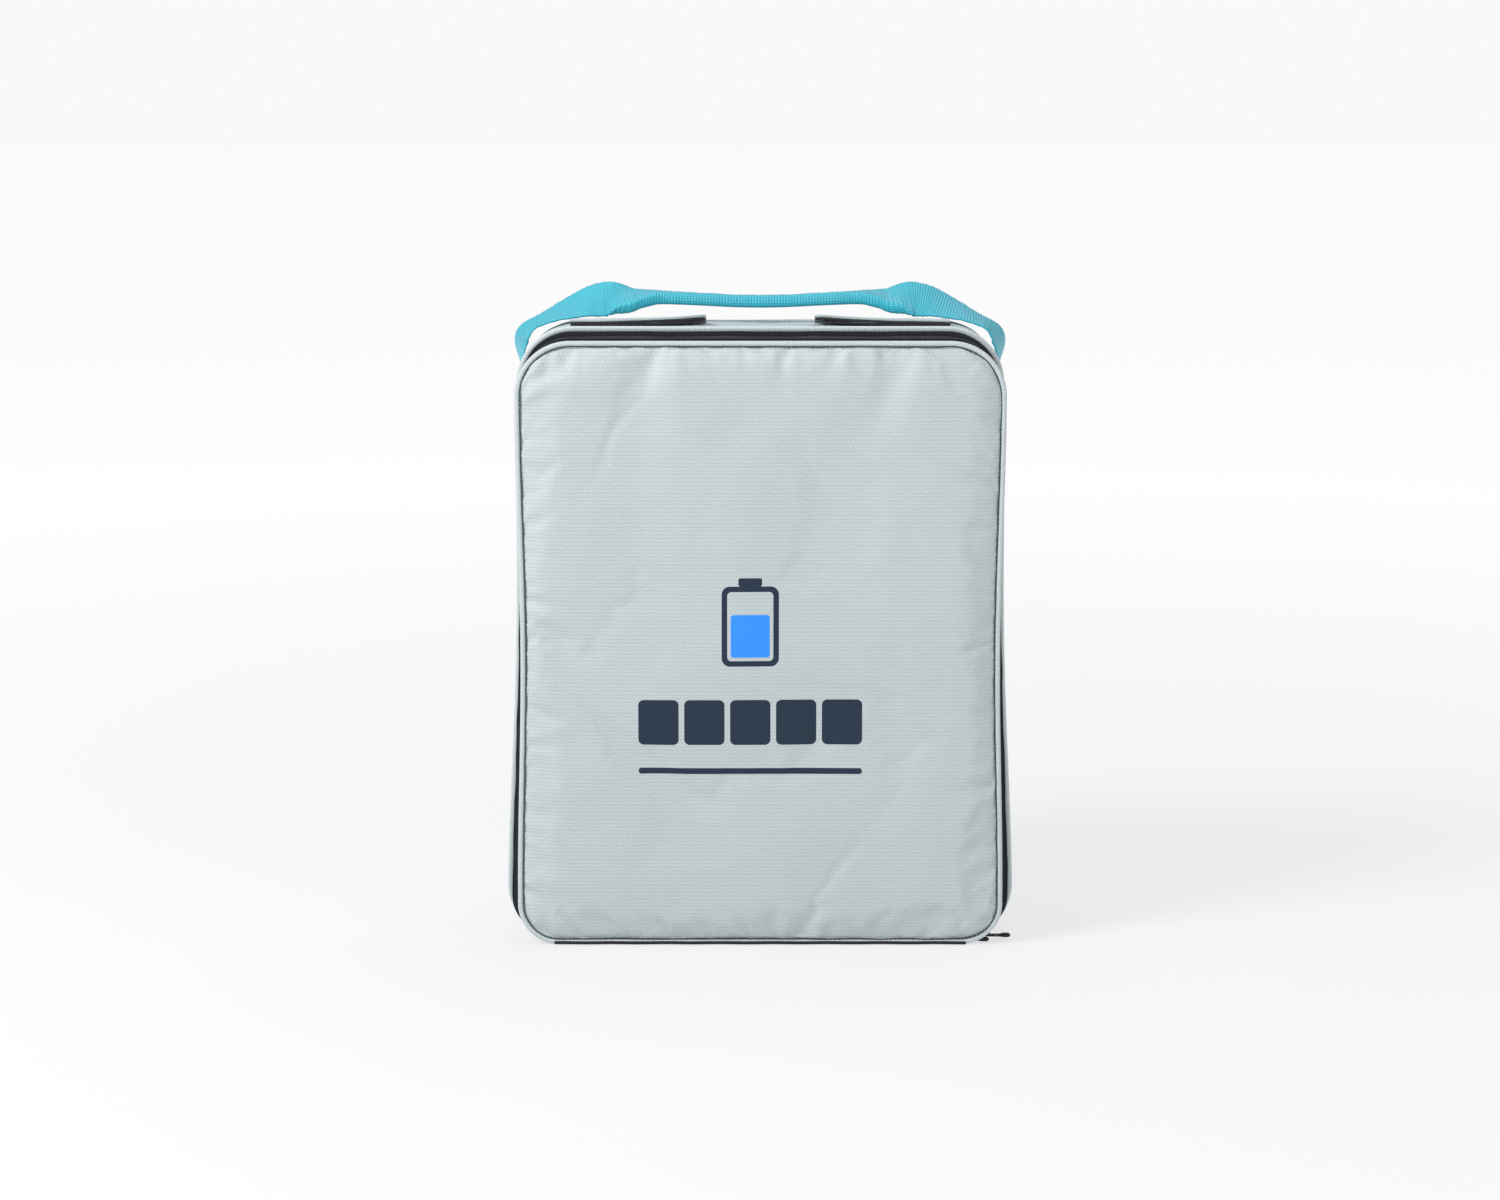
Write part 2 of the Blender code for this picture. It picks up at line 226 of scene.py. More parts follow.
def sweep(name, run, profile, material, closed=True):
    """A band along an outline. profile(index) gives its section there, as (outward, y) points in order."""
    points, weave = [], []
    for here, (spot, normal, along) in enumerate(zip(*run)):
        section = profile(here)
        across = 0.0
        before = section[0]
        for out, y in section:
            across += math.dist(before, (out, y))
            before = (out, y)
            points.append((spot[0] + normal[0] * out, y, max(0.0, spot[1] + normal[1] * out)))
            weave.append((along, across))
    faces = tube_faces(len(run[0]), len(section), closed)
    return add_mesh(name, points, faces, material, weave)


def patch(outline, cell=CELL, band=14, arc=14):
    """A grid that fills an outline: its points as (x, z, distance from the edge), its faces, and its rim."""
    lower_right, upper_right = outline.centres()[:2]
    wide = max(8, round(2 * lower_right[0] / cell))
    high = max(8, round((upper_right[1] - lower_right[1]) / cell))
    points, faces = [], []
    for j in range(high + 1):
        share = j / high
        half = lower_right[0] + (upper_right[0] - lower_right[0]) * share
        z = lower_right[1] + (upper_right[1] - lower_right[1]) * share
        edge = outline.side(z)
        for i in range(wide + 1):
            x = -half + 2 * half * i / wide
            points.append((x, z, min(edge - abs(x), z - outline.bottom, outline.top - z)))
    row = wide + 1
    for j in range(high):
        for i in range(wide):
            start = j * row + i
            faces.append((start, start + 1, start + row + 1, start + row))
    sides = (
        ([i for i in range(wide + 1)], lambda x, z: (x, outline.bottom)),
        ([j * row + wide for j in range(high + 1)], lambda x, z: (outline.side(z), z)),
        ([high * row + i for i in range(wide, -1, -1)], lambda x, z: (x, outline.top)),
        ([j * row for j in range(high, -1, -1)], lambda x, z: (-outline.side(z), z)),
    )
    spokes = []
    for (inner, outward), (cx, cz, radius, first) in zip(sides, outline.centres()):
        for point in inner:
            x, z, _ = points[point]
            spokes.append((point, outward(x, z)))
        for step in range(1, arc):
            angle = math.radians(first + 90 * step / arc)
            spokes.append((inner[-1], (cx + radius * math.cos(angle), cz + radius * math.sin(angle))))
    runs = []
    for inner, (far_x, far_z) in spokes:
        x, z, _ = points[inner]
        reach = math.dist((x, z), (far_x, far_z))
        run = [inner]
        for k in range(1, band + 1):
            share = 1 - (1 - k / band) ** 1.6
            run.append(len(points))
            points.append((x + (far_x - x) * share, z + (far_z - z) * share, reach * (1 - share)))
        runs.append(run)
    for run, after in zip(runs, runs[1:] + runs[:1]):
        for k in range(band):
            ring = [run[k], run[k + 1], after[k + 1], after[k]]
            if ring[0] == ring[3]:
                ring = ring[:3]
            faces.append(tuple(ring))
    return np.array(points), faces, [run[-1] for run in runs]


def plate(name, grid, front, back, material):
    """A closed pad that fills an outline, from one surface to the other. Both are arrays of y."""
    points, faces, edge = grid
    count = len(points)
    spots = [(x, y, z) for ys in (front, back) for (x, z, _), y in zip(points, ys)]
    every = list(faces) + [tuple(p + count for p in reversed(face)) for face in faces]
    for here, after in zip(edge, edge[1:] + edge[:1]):
        every.append((here, after, after + count, here + count))
    weave = np.concatenate([points[:, :2], points[:, :2]])
    return add_mesh(name, spots, every, material, weave)


def slab(name, us, vs, place, low, high, material, rounding=0.0004):
    """A closed sheet: place(u, v, h) maps it, and low and high are the heights of its two faces."""
    rows, columns = len(us), len(vs)
    middle = (low + high) / 2
    points, weave = [], []
    for side in (low, high):
        for u in us:
            for v in vs:
                near = min(u - us[0], us[-1] - u, v - vs[0], vs[-1] - v)
                left = 1 - min(near / rounding, 1.0)
                full = math.sqrt(max(0.0, 1 - 0.8 * left * left))
                points.append(place(u, v, middle + (side - middle) * full))
                weave.append((u, v))
    count = rows * columns
    faces = []
    for i in range(rows - 1):
        for j in range(columns - 1):
            a = i * columns + j
            ring = (a, a + 1, a + columns + 1, a + columns)
            faces.append(ring)
            faces.append(tuple(p + count for p in reversed(ring)))
    edge = [j for j in range(columns)] + [i * columns + columns - 1 for i in range(1, rows)]
    edge += [(rows - 1) * columns + j for j in range(columns - 2, -1, -1)]
    edge += [i * columns for i in range(rows - 2, 0, -1)]
    for here, after in zip(edge, edge[1:] + edge[:1]):
        faces.append((here, here + count, after + count, after))
    return add_mesh(name, points, faces, material, weave)


FINE_STEP = 0.00025


def steps(first, last, size):
    """Even steps from one value to another, with two fine ones beside each end."""
    count = max(2, round(abs(last - first) / size))
    inner = list(np.linspace(first, last, count + 1))
    fine = math.copysign(FINE_STEP, last - first)
    return [inner[0], inner[0] + fine, inner[0] + 2 * fine, *inner[1:-1], inner[-1] - 2 * fine,
            inner[-1] - fine, inner[-1]]


def ease(value, start, end):
    """0 before start, 1 after end, smooth between them. It takes numbers and arrays."""
    share = np.clip((value - start) / (end - start), 0.0, 1.0)
    return share * share * (3 - 2 * share)


def waves(x, z, size, seed):
    """Soft uneven ground from -1 to 1 at each point."""
    return np.array([noise.noise(Vector((a / size, b / size, seed))) for a, b in zip(x, z)])


def block(middle, *halves):
    """The eight corners of a block: halves are the vectors from its middle to three of its faces."""
    return [tuple(middle[k] + a * halves[0][k] + b * halves[1][k] + c * halves[2][k] for k in range(3))
            for a in (-1, 1) for b in (-1, 1) for c in (-1, 1)]


def seam_block(spot, normal, y, half_long, half_wide, half_thick):
    """A block that lies on an outline, long along it."""
    out_x, out_z = normal
    return block((spot[0], y, spot[1]), (-half_long * out_z, 0, half_long * out_x),
                 (half_wide * out_x, 0, half_wide * out_z), (0, half_thick, 0))


def small_blocks(name, blocks, material, slot, body):
    """Many small closed shapes in one piece. blocks holds each one's eight corners."""
    quads = ((0, 1, 3, 2), (4, 6, 7, 5), (0, 4, 5, 1), (2, 3, 7, 6), (0, 2, 6, 4), (1, 5, 7, 3))
    points = [corner for corners in blocks for corner in corners]
    faces = [tuple(8 * n + k for k in quad) for n in range(len(blocks)) for quad in quads]
    place_piece(add_mesh(name, points, faces, material), body, slot)


# The cloth simulation's settings. A negative shrinkage lets the cloth grow, so that it has slack to fold.
SOFT_CLOTH = {
    "quality": 5,
    "mass": 0.25,
    "tension_stiffness": 12,
    "compression_stiffness": 6,
    "bending_stiffness": 0.15,
    "shrink_min": -0.012,
}


def settle(piece, pinned, pressure, reach, outward):
    """Cloth on a piece held at its seam, pushed out from inside. No point moves further than reach.

    outward is the way that the cloth faces along y, 1 or -1."""
    before = np.array([v.co for v in piece.data.vertices])
    group = piece.vertex_groups.new(name="seam")
    group.add([int(p) for p in pinned], 1.0, "REPLACE")
    cloth = piece.modifiers.new("cloth", "CLOTH")
    for setting, value in SOFT_CLOTH.items():
        setattr(cloth.settings, setting, value)
    cloth.settings.vertex_group_mass = "seam"
    cloth.settings.use_pressure = True
    cloth.settings.uniform_pressure_force = pressure
    cloth.settings.effector_weights.gravity = 0
    cloth.point_cache.frame_start = 1
    cloth.point_cache.frame_end = SETTLE_FRAMES
    scene = bpy.context.scene
    for count in range(1, SETTLE_FRAMES + 1):
        scene.frame_set(count)
    graph = bpy.context.evaluated_depsgraph_get()
    after = np.array([v.co for v in piece.evaluated_get(graph).data.vertices])
    move = after - before
    length = np.linalg.norm(move, axis=1)
    move *= np.minimum(1.0, reach / np.maximum(length, 1e-9))[:, None]
    move[:, 1] = outward * np.maximum(outward * move[:, 1], -MOST_SINK)
    piece.modifiers.remove(cloth)
    piece.vertex_groups.remove(group)
    piece.data.vertices.foreach_set("co", (before + move).astype(np.float32).ravel())
    piece.data.update()
    scene.frame_set(1)


# ---------------------------------------------------------------- materials

class Finish:
    """A Principled material, with short calls for the nodes that feed it."""

    def __init__(self, name, **constants):
        self.material = bpy.data.materials.new(name)
        self.material.use_nodes = True
        self.tree = self.material.node_tree
        self.shader = self.tree.nodes["Principled BSDF"]
        for key, value in constants.items():
            self.shader.inputs[key.replace("_", " ")].default_value = value

    def node(self, kind, **values):
        made = self.tree.nodes.new(kind)
        for key, value in values.items():
            setattr(made, key, value)
        return made

    def put(self, socket, value):
        if isinstance(value, (int, float)):
            socket.default_value = value
        elif isinstance(value, tuple):
            socket.default_value = (*value, 1.0) if len(value) == 3 else value
        else:
            self.tree.links.new(value, socket)

    def math(self, operation, *values):
        made = self.node("ShaderNodeMath", operation=operation)
        for socket, value in zip(made.inputs, values):
            self.put(socket, value)
        return made.outputs[0]

    def mix(self, share, first, second):
        made = self.node("ShaderNodeMix", data_type="RGBA")
        self.put(made.inputs[0], share)
        self.put(made.inputs[6], first)
        self.put(made.inputs[7], second)
        return made.outputs[2]

    def places(self):
        """x, y and z of the piece itself."""
        split = self.node("ShaderNodeSeparateXYZ")
        self.put(split.inputs[0], self.node("ShaderNodeTexCoord").outputs["Object"])
        return split.outputs

    def weave(self):
        """Place along and across the cloth, from the piece's own lay."""
        split = self.node("ShaderNodeSeparateXYZ")
        lay = self.node("ShaderNodeAttribute", attribute_name="weave")
        self.put(split.inputs[0], lay.outputs["Vector"])
        return split.outputs

    def grain(self, scale, detail=3.0):
        made = self.node("ShaderNodeTexNoise")
        self.put(made.inputs["Vector"], self.node("ShaderNodeTexCoord").outputs["Object"])
        made.inputs["Scale"].default_value = scale
        made.inputs["Detail"].default_value = detail
        return made.outputs[0]

    def ridge(self, place, pitch):
        """0 to 1 to 0 over each pitch."""
        return self.math("ABSOLUTE", self.math("SINE", self.math("MULTIPLY", place, math.pi / pitch)))

    def bump(self, height, depth, strength=1.0):
        made = self.node("ShaderNodeBump")
        made.inputs["Strength"].default_value = strength
        made.inputs["Distance"].default_value = depth
        self.put(made.inputs["Height"], height)
        self.put(self.shader.inputs["Normal"], made.outputs[0])

    def colour(self, value):
        self.put(self.shader.inputs["Base Color"], value)

    def roughness(self, middle, spread, scale=60.0):
        uneven = self.math("MULTIPLY_ADD", self.grain(scale), spread, middle - spread / 2)
        self.put(self.shader.inputs["Roughness"], uneven)


def shade(tint, share):
    """A colour made darker."""
    return tuple(share * c for c in tint)


def honeycomb(finish, along, up, pitch):
    """Small pillows in offset rows, as in a coated honeycomb weave, and the lines between the rows."""
    row = finish.math("DIVIDE", up, pitch)
    shift = finish.math("MULTIPLY", finish.math("FLOOR", row), pitch / 2)
    pillow = finish.ridge(finish.math("ADD", along, shift), pitch)
    line = finish.ridge(up, pitch)
    return finish.math("POWER", finish.math("MULTIPLY", pillow, line), 0.5), line


def rounded_box(finish, x, z, centre, half, radius):
    """1 inside a rounded rectangle and 0 outside."""
    sides = []
    for place, middle, reach in ((x, centre[0], half[0]), (z, centre[1], half[1])):
        away = finish.math("ABSOLUTE", finish.math("SUBTRACT", place, middle))
        sides.append(finish.math("MAXIMUM", finish.math("SUBTRACT", away, reach - radius), 0.0))
    squares = [finish.math("MULTIPLY", side, side) for side in sides]
    return finish.math("LESS_THAN", finish.math("ADD", *squares), radius * radius)


# The printed sign: its middle, the heights of its parts, and its inks.
PRINT_X = -0.0072
SIGN_Z = 0.2365
GAUGE_Z = 0.1665
RULE_Z = 0.1305
GAUGE_PITCH = 0.0330
DARK_INK = (0.010, 0.024, 0.050)
BLUE_INK = (0.030, 0.290, 0.950)
WEAVE_PITCH = 0.0027  # of the coated cloth's honeycomb


def print_masks(finish, x, z):
    """A plain battery sign: case, charge, five gauge cells and a rule, in dark ink and in blue ink."""
    def box(across, height, half, radius):
        return rounded_box(finish, x, z, (PRINT_X + across, height), half, radius)

    case = box(0.0, SIGN_Z, (0.0205, 0.0290), 0.006)
    hollow = box(0.0, SIGN_Z, (0.0165, 0.0250), 0.003)
    dark = finish.math("SUBTRACT", case, hollow)
    cap = box(0.0, SIGN_Z + 0.0320, (0.0085, 0.0030), 0.0015)
    cells = [box((cell - 2) * GAUGE_PITCH, GAUGE_Z, (0.0145, 0.0165), 0.004) for cell in range(5)]
    rule = box(0.0, RULE_Z, (0.0805, 0.0022), 0.002)
    for part in (cap, *cells, rule):
        dark = finish.math("MAXIMUM", dark, part)
    return dark, box(0.0, SIGN_Z - 0.0070, (0.0140, 0.0155), 0.002)


def cloth_finish(name, tint, printed=False):
    """Coated grey cloth with a honeycomb weave. The panel's carries the printed battery sign."""
    finish = Finish(name, Sheen_Weight=0.02, Sheen_Roughness=0.4, Specular_IOR_Level=0.18)
    if printed:
        x, _, z = finish.places()
        along, up = x, z
    else:
        along, up, _ = finish.weave()
    pillow, line = honeycomb(finish, along, up, WEAVE_PITCH)
    thread = finish.ridge(up, WEAVE_PITCH / 6)
    height = finish.math("MULTIPLY_ADD", thread, 0.18, pillow)
    height = finish.math("MULTIPLY_ADD", finish.grain(900.0, 2.0), 0.3, height)
    finish.bump(height, 0.00030, 0.7)
    # The colour is darker in the lines between the rows and on the low pillows: painted shade in the weave's
    # hollows.
    raised = finish.math("MULTIPLY_ADD", line, 0.35, finish.math("MULTIPLY_ADD", pillow, 0.3, 0.35))
    base = finish.mix(raised, shade(tint, 0.86), tint)
    base = finish.mix(finish.math("MULTIPLY", finish.grain(14.0), 0.10), base, shade(tint, 0.8))
    if printed:
        ink, blue = print_masks(finish, x, z)
        worn = finish.math("MULTIPLY_ADD", finish.grain(2600.0, 2.0), -0.04, 1.0)
        base = finish.mix(finish.math("MULTIPLY", ink, worn), base, DARK_INK)
        base = finish.mix(finish.math("MULTIPLY", blue, worn), base, BLUE_INK)
    finish.colour(base)
    finish.roughness(0.46, 0.12)
    return finish.material


def ribbon_finish(name, tint, rib, depth, roughness=0.62, sheen=0.2, fade=0.12, gloss=0.3):
    """Woven tape: ribs across it, threads along it, slightly faded in places."""
    finish = Finish(name, Sheen_Weight=sheen, Sheen_Roughness=0.45, Specular_IOR_Level=gloss)
    along, across, _ = finish.weave()
    ribs = finish.ridge(along, rib)
    threads = finish.ridge(across, rib * 0.8)
    height = finish.math("MULTIPLY_ADD", threads, 0.5, ribs)
    height = finish.math("MULTIPLY_ADD", finish.grain(1500.0, 2.0), 0.3, height)
    finish.bump(height, depth, 0.7)
    # darker between the ribs: painted shade in the tape's hollows
    base = finish.mix(finish.math("MULTIPLY_ADD", ribs, 0.5, 0.5), shade(tint, 0.72), tint)
    faded = tuple(min(1.0, 1.5 * c + 0.02) for c in tint)
    base = finish.mix(finish.math("MULTIPLY", finish.grain(35.0), fade), base, faded)
    finish.colour(base)
    finish.roughness(roughness, 0.12)
    return finish.material


def felt_finish():
    """Pale needled felt: short tangled fibres and darker flecks."""
    finish = Finish("felt_fibres", Sheen_Weight=0.5, Sheen_Roughness=0.6, Specular_IOR_Level=0.15)
    fibres = finish.grain(420.0, 6.0)
    finish.bump(fibres, 0.0006, 0.8)
    base = finish.mix(fibres, (0.46, 0.45, 0.41), (0.78, 0.76, 0.70))
    finish.colour(base)
    finish.roughness(0.92, 0.08)
    return finish.material


def liner_finish():
    """Silvery coated glass cloth: plain square weave with a soft gloss."""
    finish = Finish("liner_cloth", Metallic=0.25, Specular_IOR_Level=0.5, Sheen_Weight=0.05)
    along, across, _ = finish.weave()
    weave = finish.math("MULTIPLY", finish.ridge(along, 0.0014), finish.ridge(across, 0.0014))
    finish.bump(finish.math("MULTIPLY_ADD", finish.grain(700.0), 0.3, weave), 0.0002, 0.6)
    # darker in the gaps between the threads: painted shade in the weave's hollows
    base = finish.mix(weave, (0.42, 0.43, 0.43), (0.66, 0.67, 0.67))
    finish.colour(finish.mix(finish.math("MULTIPLY", finish.grain(20.0), 0.2), base, (0.36, 0.37, 0.37)))
    finish.roughness(0.40, 0.16)
    return finish.material


def bristle_finish(name, tint):
    """Black hook or loop tape: a dense field of tiny bristles."""
    finish = Finish(name, Sheen_Weight=0.3, Sheen_Roughness=0.5, Specular_IOR_Level=0.35)
    made = finish.node("ShaderNodeTexVoronoi")
    finish.put(made.inputs["Vector"], finish.node("ShaderNodeTexCoord").outputs["Object"])
    made.inputs["Scale"].default_value = 1100.0
    height = finish.math("SUBTRACT", 1.0, made.outputs["Distance"])
    finish.bump(height, 0.0006, 0.9)
    # darker between the bristles: painted shade in the gaps of the tape
    finish.colour(finish.mix(height, shade(tint, 0.4), tint))
    finish.roughness(0.80, 0.15)
    return finish.material


def metal_finish():
    """Dark plated zinc with fine scuffs, brighter where it is rubbed."""
    finish = Finish("dark_zinc", Metallic=0.9, Specular_IOR_Level=0.5)
    scuffs = finish.grain(900.0, 5.0)
    finish.bump(scuffs, 0.00005, 0.5)
    worn = finish.math("MULTIPLY", finish.math("GREATER_THAN", finish.grain(240.0, 4.0), 0.62), 0.35)
    finish.colour(finish.mix(worn, (0.030, 0.030, 0.034), (0.30, 0.30, 0.31)))
    finish.roughness(0.36, 0.2, 300.0)
    return finish.material


def thread_finish(name, tint):
    """Twisted sewing thread."""
    finish = Finish(name, Specular_IOR_Level=0.3, Sheen_Weight=0.2)
    x, y, z = finish.places()
    twist = finish.ridge(finish.math("ADD", finish.math("ADD", x, y), z), 0.0005)
    finish.bump(twist, 0.00015, 0.7)
    # darker in the grooves of the twist: painted shade
    finish.colour(finish.mix(twist, shade(tint, 0.6), tint))
    finish.roughness(0.6, 0.1)
    return finish.material


PANEL_TINT = (0.532, 0.590, 0.604)
WALL_TINT = (0.480, 0.545, 0.565)
LOOK = {
    "panel": cloth_finish("coated_panel_cloth", PANEL_TINT, printed=True),
    "wall": cloth_finish("coated_wall_cloth", WALL_TINT),
    "piping": ribbon_finish("piping_cover", (0.57, 0.63, 0.65), 0.0011, 0.0003),
    "binding": ribbon_finish("binding_grosgrain", (0.56, 0.62, 0.64), 0.0013, 0.0003),
    "zip": ribbon_finish("zip_tape_weave", (0.013, 0.015, 0.018), 0.0009, 0.0002,
                         roughness=0.7, sheen=0.06, fade=0.05),
    "webbing": ribbon_finish("handle_webbing_weave", (0.020, 0.440, 0.570), 0.0021, 0.0006,
                             roughness=0.42, sheen=0.12, fade=0.08, gloss=0.6),
    "felt": felt_finish(),
    "liner": liner_finish(),
    "hook": bristle_finish("hook_bristles", (0.018, 0.018, 0.020)),
    "metal": metal_finish(),
    "coil": ribbon_finish("zip_coil_nylon", (0.028, 0.030, 0.033), 0.0012, 0.0001, roughness=0.35, sheen=0.0),
    "seam": thread_finish("seam_thread_dark", (0.045, 0.085, 0.100)),
    "teal": thread_finish("handle_thread", (0.020, 0.330, 0.430)),
    "grey": thread_finish("body_thread", (0.40, 0.46, 0.48)),
}


# ---------------------------------------------------------------- front panel

def puckers(points, marks):
    """The hollows that the seam pulls into the cloth. A mark is place, direction, length, width and depth."""
    depth = np.zeros(len(points))
    for (x, z), direction, length, width, deep in marks:
        aim = np.array(direction) / math.hypot(*direction)
        along = (points[:, 0] - x) * aim[0] + (points[:, 1] - z) * aim[1]
        across = (points[:, 1] - z) * aim[0] - (points[:, 0] - x) * aim[1]
        spread = width * (1 + 0.6 * np.clip(along / length, 0, 2))
        fall = np.exp(-np.clip(along, 0, None) / length) * ease(along, -0.004, 0.001)
        bell = np.exp(-(across / spread) ** 2)
        depth += deep * fall * (bell - 0.55 * np.exp(-((np.abs(across) - 1.9 * spread) / spread) ** 2))
    return depth


PUCKERS = 66  # small puckers along each padded seam
PUCKER_LONG = 0.0085
PUCKER_WIDE = 0.0021
PUCKER_DEEP = 0.0012


def seam_marks(outline, seed):
    """Small puckers at uneven places along a seam, each pointing inwards."""
    draw = random.Random(seed)
    spots, normals, _ = outline.run(0.001)
    marks = []
    for number in range(PUCKERS):
        here = int((number + draw.uniform(0.1, 0.9)) / PUCKERS * len(spots)) % len(spots)
        lean = draw.uniform(-0.5, 0.5)
        inward = -normals[here]
        direction = (inward[0] - lean * inward[1], inward[1] + lean * inward[0])
        size = draw.uniform(0.4, 1.0)
        length = PUCKER_LONG * draw.uniform(0.6, 1.5)
        width = PUCKER_WIDE * draw.uniform(0.7, 1.4)
        marks.append((spots[here], direction, length, width, PUCKER_DEEP * size))
    return marks


PANEL_SEED = 11
BACK_SEED = 29
# Folds of the front panel that can be told apart: place on the seam, direction, length, width, depth.
PANEL_FOLDS = (
    ((0.1040, 0.4370), (-0.50, -1.0), 0.0600, 0.0120, 0.0030),
    ((-0.0860, 0.4360), (-0.12, -1.0), 0.0550, 0.0140, 0.0026),
    ((0.1060, 0.4370), (-0.42, -1.0), 0.0300, 0.0044, 0.0030),
    ((0.0900, 0.4365), (-0.10, -1.0), 0.0130, 0.0034, 0.0022),
    ((0.0560, 0.4360), (-0.45, -1.0), 0.0150, 0.0034, 0.0024),
    ((0.0200, 0.4355), (-0.30, -1.0), 0.0130, 0.0030, 0.0021),
    ((-0.0780, 0.4360), (-0.06, -1.0), 0.0400, 0.0070, 0.0024),
    ((-0.1330, 0.4350), (-0.60, -1.0), 0.0120, 0.0030, 0.0023),
    ((-0.1500, 0.4310), (-0.10, -1.0), 0.0130, 0.0030, 0.0023),
    ((-0.1710, 0.4060), (1.00, 0.55), 0.0170, 0.0038, 0.0026),
    ((-0.1690, 0.2540), (1.00, -0.10), 0.0140, 0.0030, 0.0022),
    ((-0.1715, 0.0410), (1.00, -0.35), 0.0130, 0.0034, 0.0024),
    ((-0.1580, 0.0110), (0.60, 1.00), 0.0130, 0.0034, 0.0020),
    ((0.1690, 0.3360), (-1.00, 0.20), 0.0130, 0.0036, 0.0019),
    ((0.1700, 0.1200), (-1.00, -0.20), 0.0150, 0.0040, 0.0018),
    ((0.1660, 0.0180), (-1.00, 0.70), 0.0190, 0.0042, 0.0028),
    ((0.0300, 0.0080), (0.30, 1.00), 0.0160, 0.0052, 0.0018),
)


def wander(x, z, seed):
    """A small shift of the sewn edge, which is never quite even."""
    return 0.0007 * noise.noise_vector(Vector((x / 0.016, z / 0.016, seed)))


def unevenly_sewn(points, seed):
    """Shifts the points near the seam in their own plane."""
    for row in points:
        shift = wander(row[0], row[1], seed) * math.exp(-max(row[2], 0.0) / 0.008)
        row[0] += shift.x
        row[1] += shift.y
    return points


def padded_front(points, outline, seed, fold_marks, puff, crown):
    """How far the cloth of a padded plate stands out from its seam."""
    x, z, near = points.T
    middle = (outline.top + outline.bottom) / 2
    half_high = (outline.top - outline.bottom) / 2
    roll = puff * (1 - np.exp(-near / 0.0075))
    dome = crown * (1 - (x / outline.high) ** 2) * (1 - ((z - middle) / half_high) ** 2)
    soft = 0.0022 * waves(x, z, 0.095, seed) + 0.0007 * waves(x, z, 0.034, seed + 5)
    marks = seam_marks(outline, seed) + list(fold_marks)
    rise = roll + dome + soft * ease(near, 0.0, 0.03) - puckers(points, marks) * ease(near, 0.0, 0.004)
    floor = 0.0003 + 0.25 * roll
    return np.where(rise > 2 * floor, rise, floor + floor * np.exp(np.minimum(0, rise / floor - 2)))


def make_panel():
    """The front panel: padded cloth, piping, seam stitches, felt and quilted lining."""
    cloth_edge = PANEL.changed(inset=2 * PIPING_R + 0.0004, bottom=-BOTTOM_TUCK)
    grid = patch(cloth_edge)
    unevenly_sewn(grid[0], PANEL_SEED)
    rise = padded_front(grid[0], cloth_edge, PANEL_SEED, PANEL_FOLDS, puff=0.0052, crown=0.0030)
    back = np.full(len(rise), SEAM_Y + 0.0001)
    cloth = plate("panel_cloth", grid, SEAM_Y - 0.0004 - rise, back, LOOK["panel"])
    held = list(range(len(back), 2 * len(back))) + list(grid[2])
    settle(cloth, held, pressure=1.2, reach=0.0022, outward=-1)
    place_piece(cloth, "front_panel", "panel_fabric", "panel_outer")
    piping = PANEL.changed(inset=PIPING_R, bottom=-BOTTOM_TUCK)
    make_piping("panel_piping_cord", piping, SEAM_Y, "front_panel", "panel_piping")
    seam = PANEL.changed(inset=2 * PIPING_R + 0.0002, bottom=-BOTTOM_TUCK)
    make_seam_thread("panel_seam_thread", seam, SEAM_Y - 0.0012, "front_panel")
    inner = PANEL_TRACK.changed(inset=0.0022)
    felt_plate("panel_felt_pad", inner, 0.005, 0.0003, "front_panel", "panel_insulation")
    low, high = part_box("panel_liner")
    quilted_plate("panel_liner_quilt", inner, low.y + 0.0003, high.y, 1, "front_panel", "panel_liner")


def felt_plate(name, outline, cell, uneven, body, node):
    """The felt of a flat wall, between the planes of its CAD node. uneven is the waviness of its back."""
    grid = patch(outline, cell, 8, 8)
    x, z, _ = grid[0].T
    flat = np.zeros(len(x))
    low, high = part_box(node)
    felt = plate(name, grid, flat + low.y, high.y + uneven * waves(x, z, 0.01, 3), LOOK["felt"])
    place_piece(felt, body, "insulation", node)


QUILT_SIZE = 0.045
QUILT_RISE = 0.0016


def quilt(u, v):
    """Height from 0 in the sewn lines to 1 between them, for a diamond quilt."""
    first = np.abs(np.sin(math.pi * (u + v) / QUILT_SIZE))
    second = np.abs(np.sin(math.pi * (u - v) / QUILT_SIZE))
    return np.minimum(first, second) ** 0.45


def quilted_plate(name, outline, low_y, high_y, facing, body, node):
    """A quilted lining on a flat wall. Its quilt faces backwards if facing is 1, and forwards if it is -1."""
    grid = patch(outline, 0.0035, 10, 10)
    x, z, near = grid[0].T
    puff = (quilt(x, z) * QUILT_RISE + 0.0003 * waves(x, z, 0.02, 9)) * ease(near, 0.0, 0.008)
    flat = np.zeros(len(x))
    front, back = (flat + low_y, high_y + puff) if facing > 0 else (low_y - puff, flat + high_y)
    lining = plate(name, grid, front, back, LOOK["liner"])
    place_piece(lining, body, "liner", node)


GATHER = 0.0026  # from one ripple of the gathered cover to the next


def make_piping(name, outline, y, body, node):
    """A cord in a woven cover that is gathered a little all along its seam."""
    run = outline.run(0.0008)
    draw = random.Random(4)
    loose = [draw.uniform(-0.00005, 0.00005) for _ in range(len(run[0]))]
    turns = [2 * math.pi * k / 12 for k in range(12)]

    def section(here):
        radius = PIPING_R + 0.00006 * math.sin(2 * math.pi * run[2][here] / GATHER) + loose[here]
        return [(radius * math.cos(turn), y + radius * math.sin(turn)) for turn in turns]

    cord = sweep(name, run, section, LOOK["piping"])
    place_piece(cord, body, "piping", node)


STITCH = 0.0034  # from the start of one stitch to the next
STITCH_HALF = (0.00150, 0.00042, 0.00035)  # half of a stitch's length, width and thickness


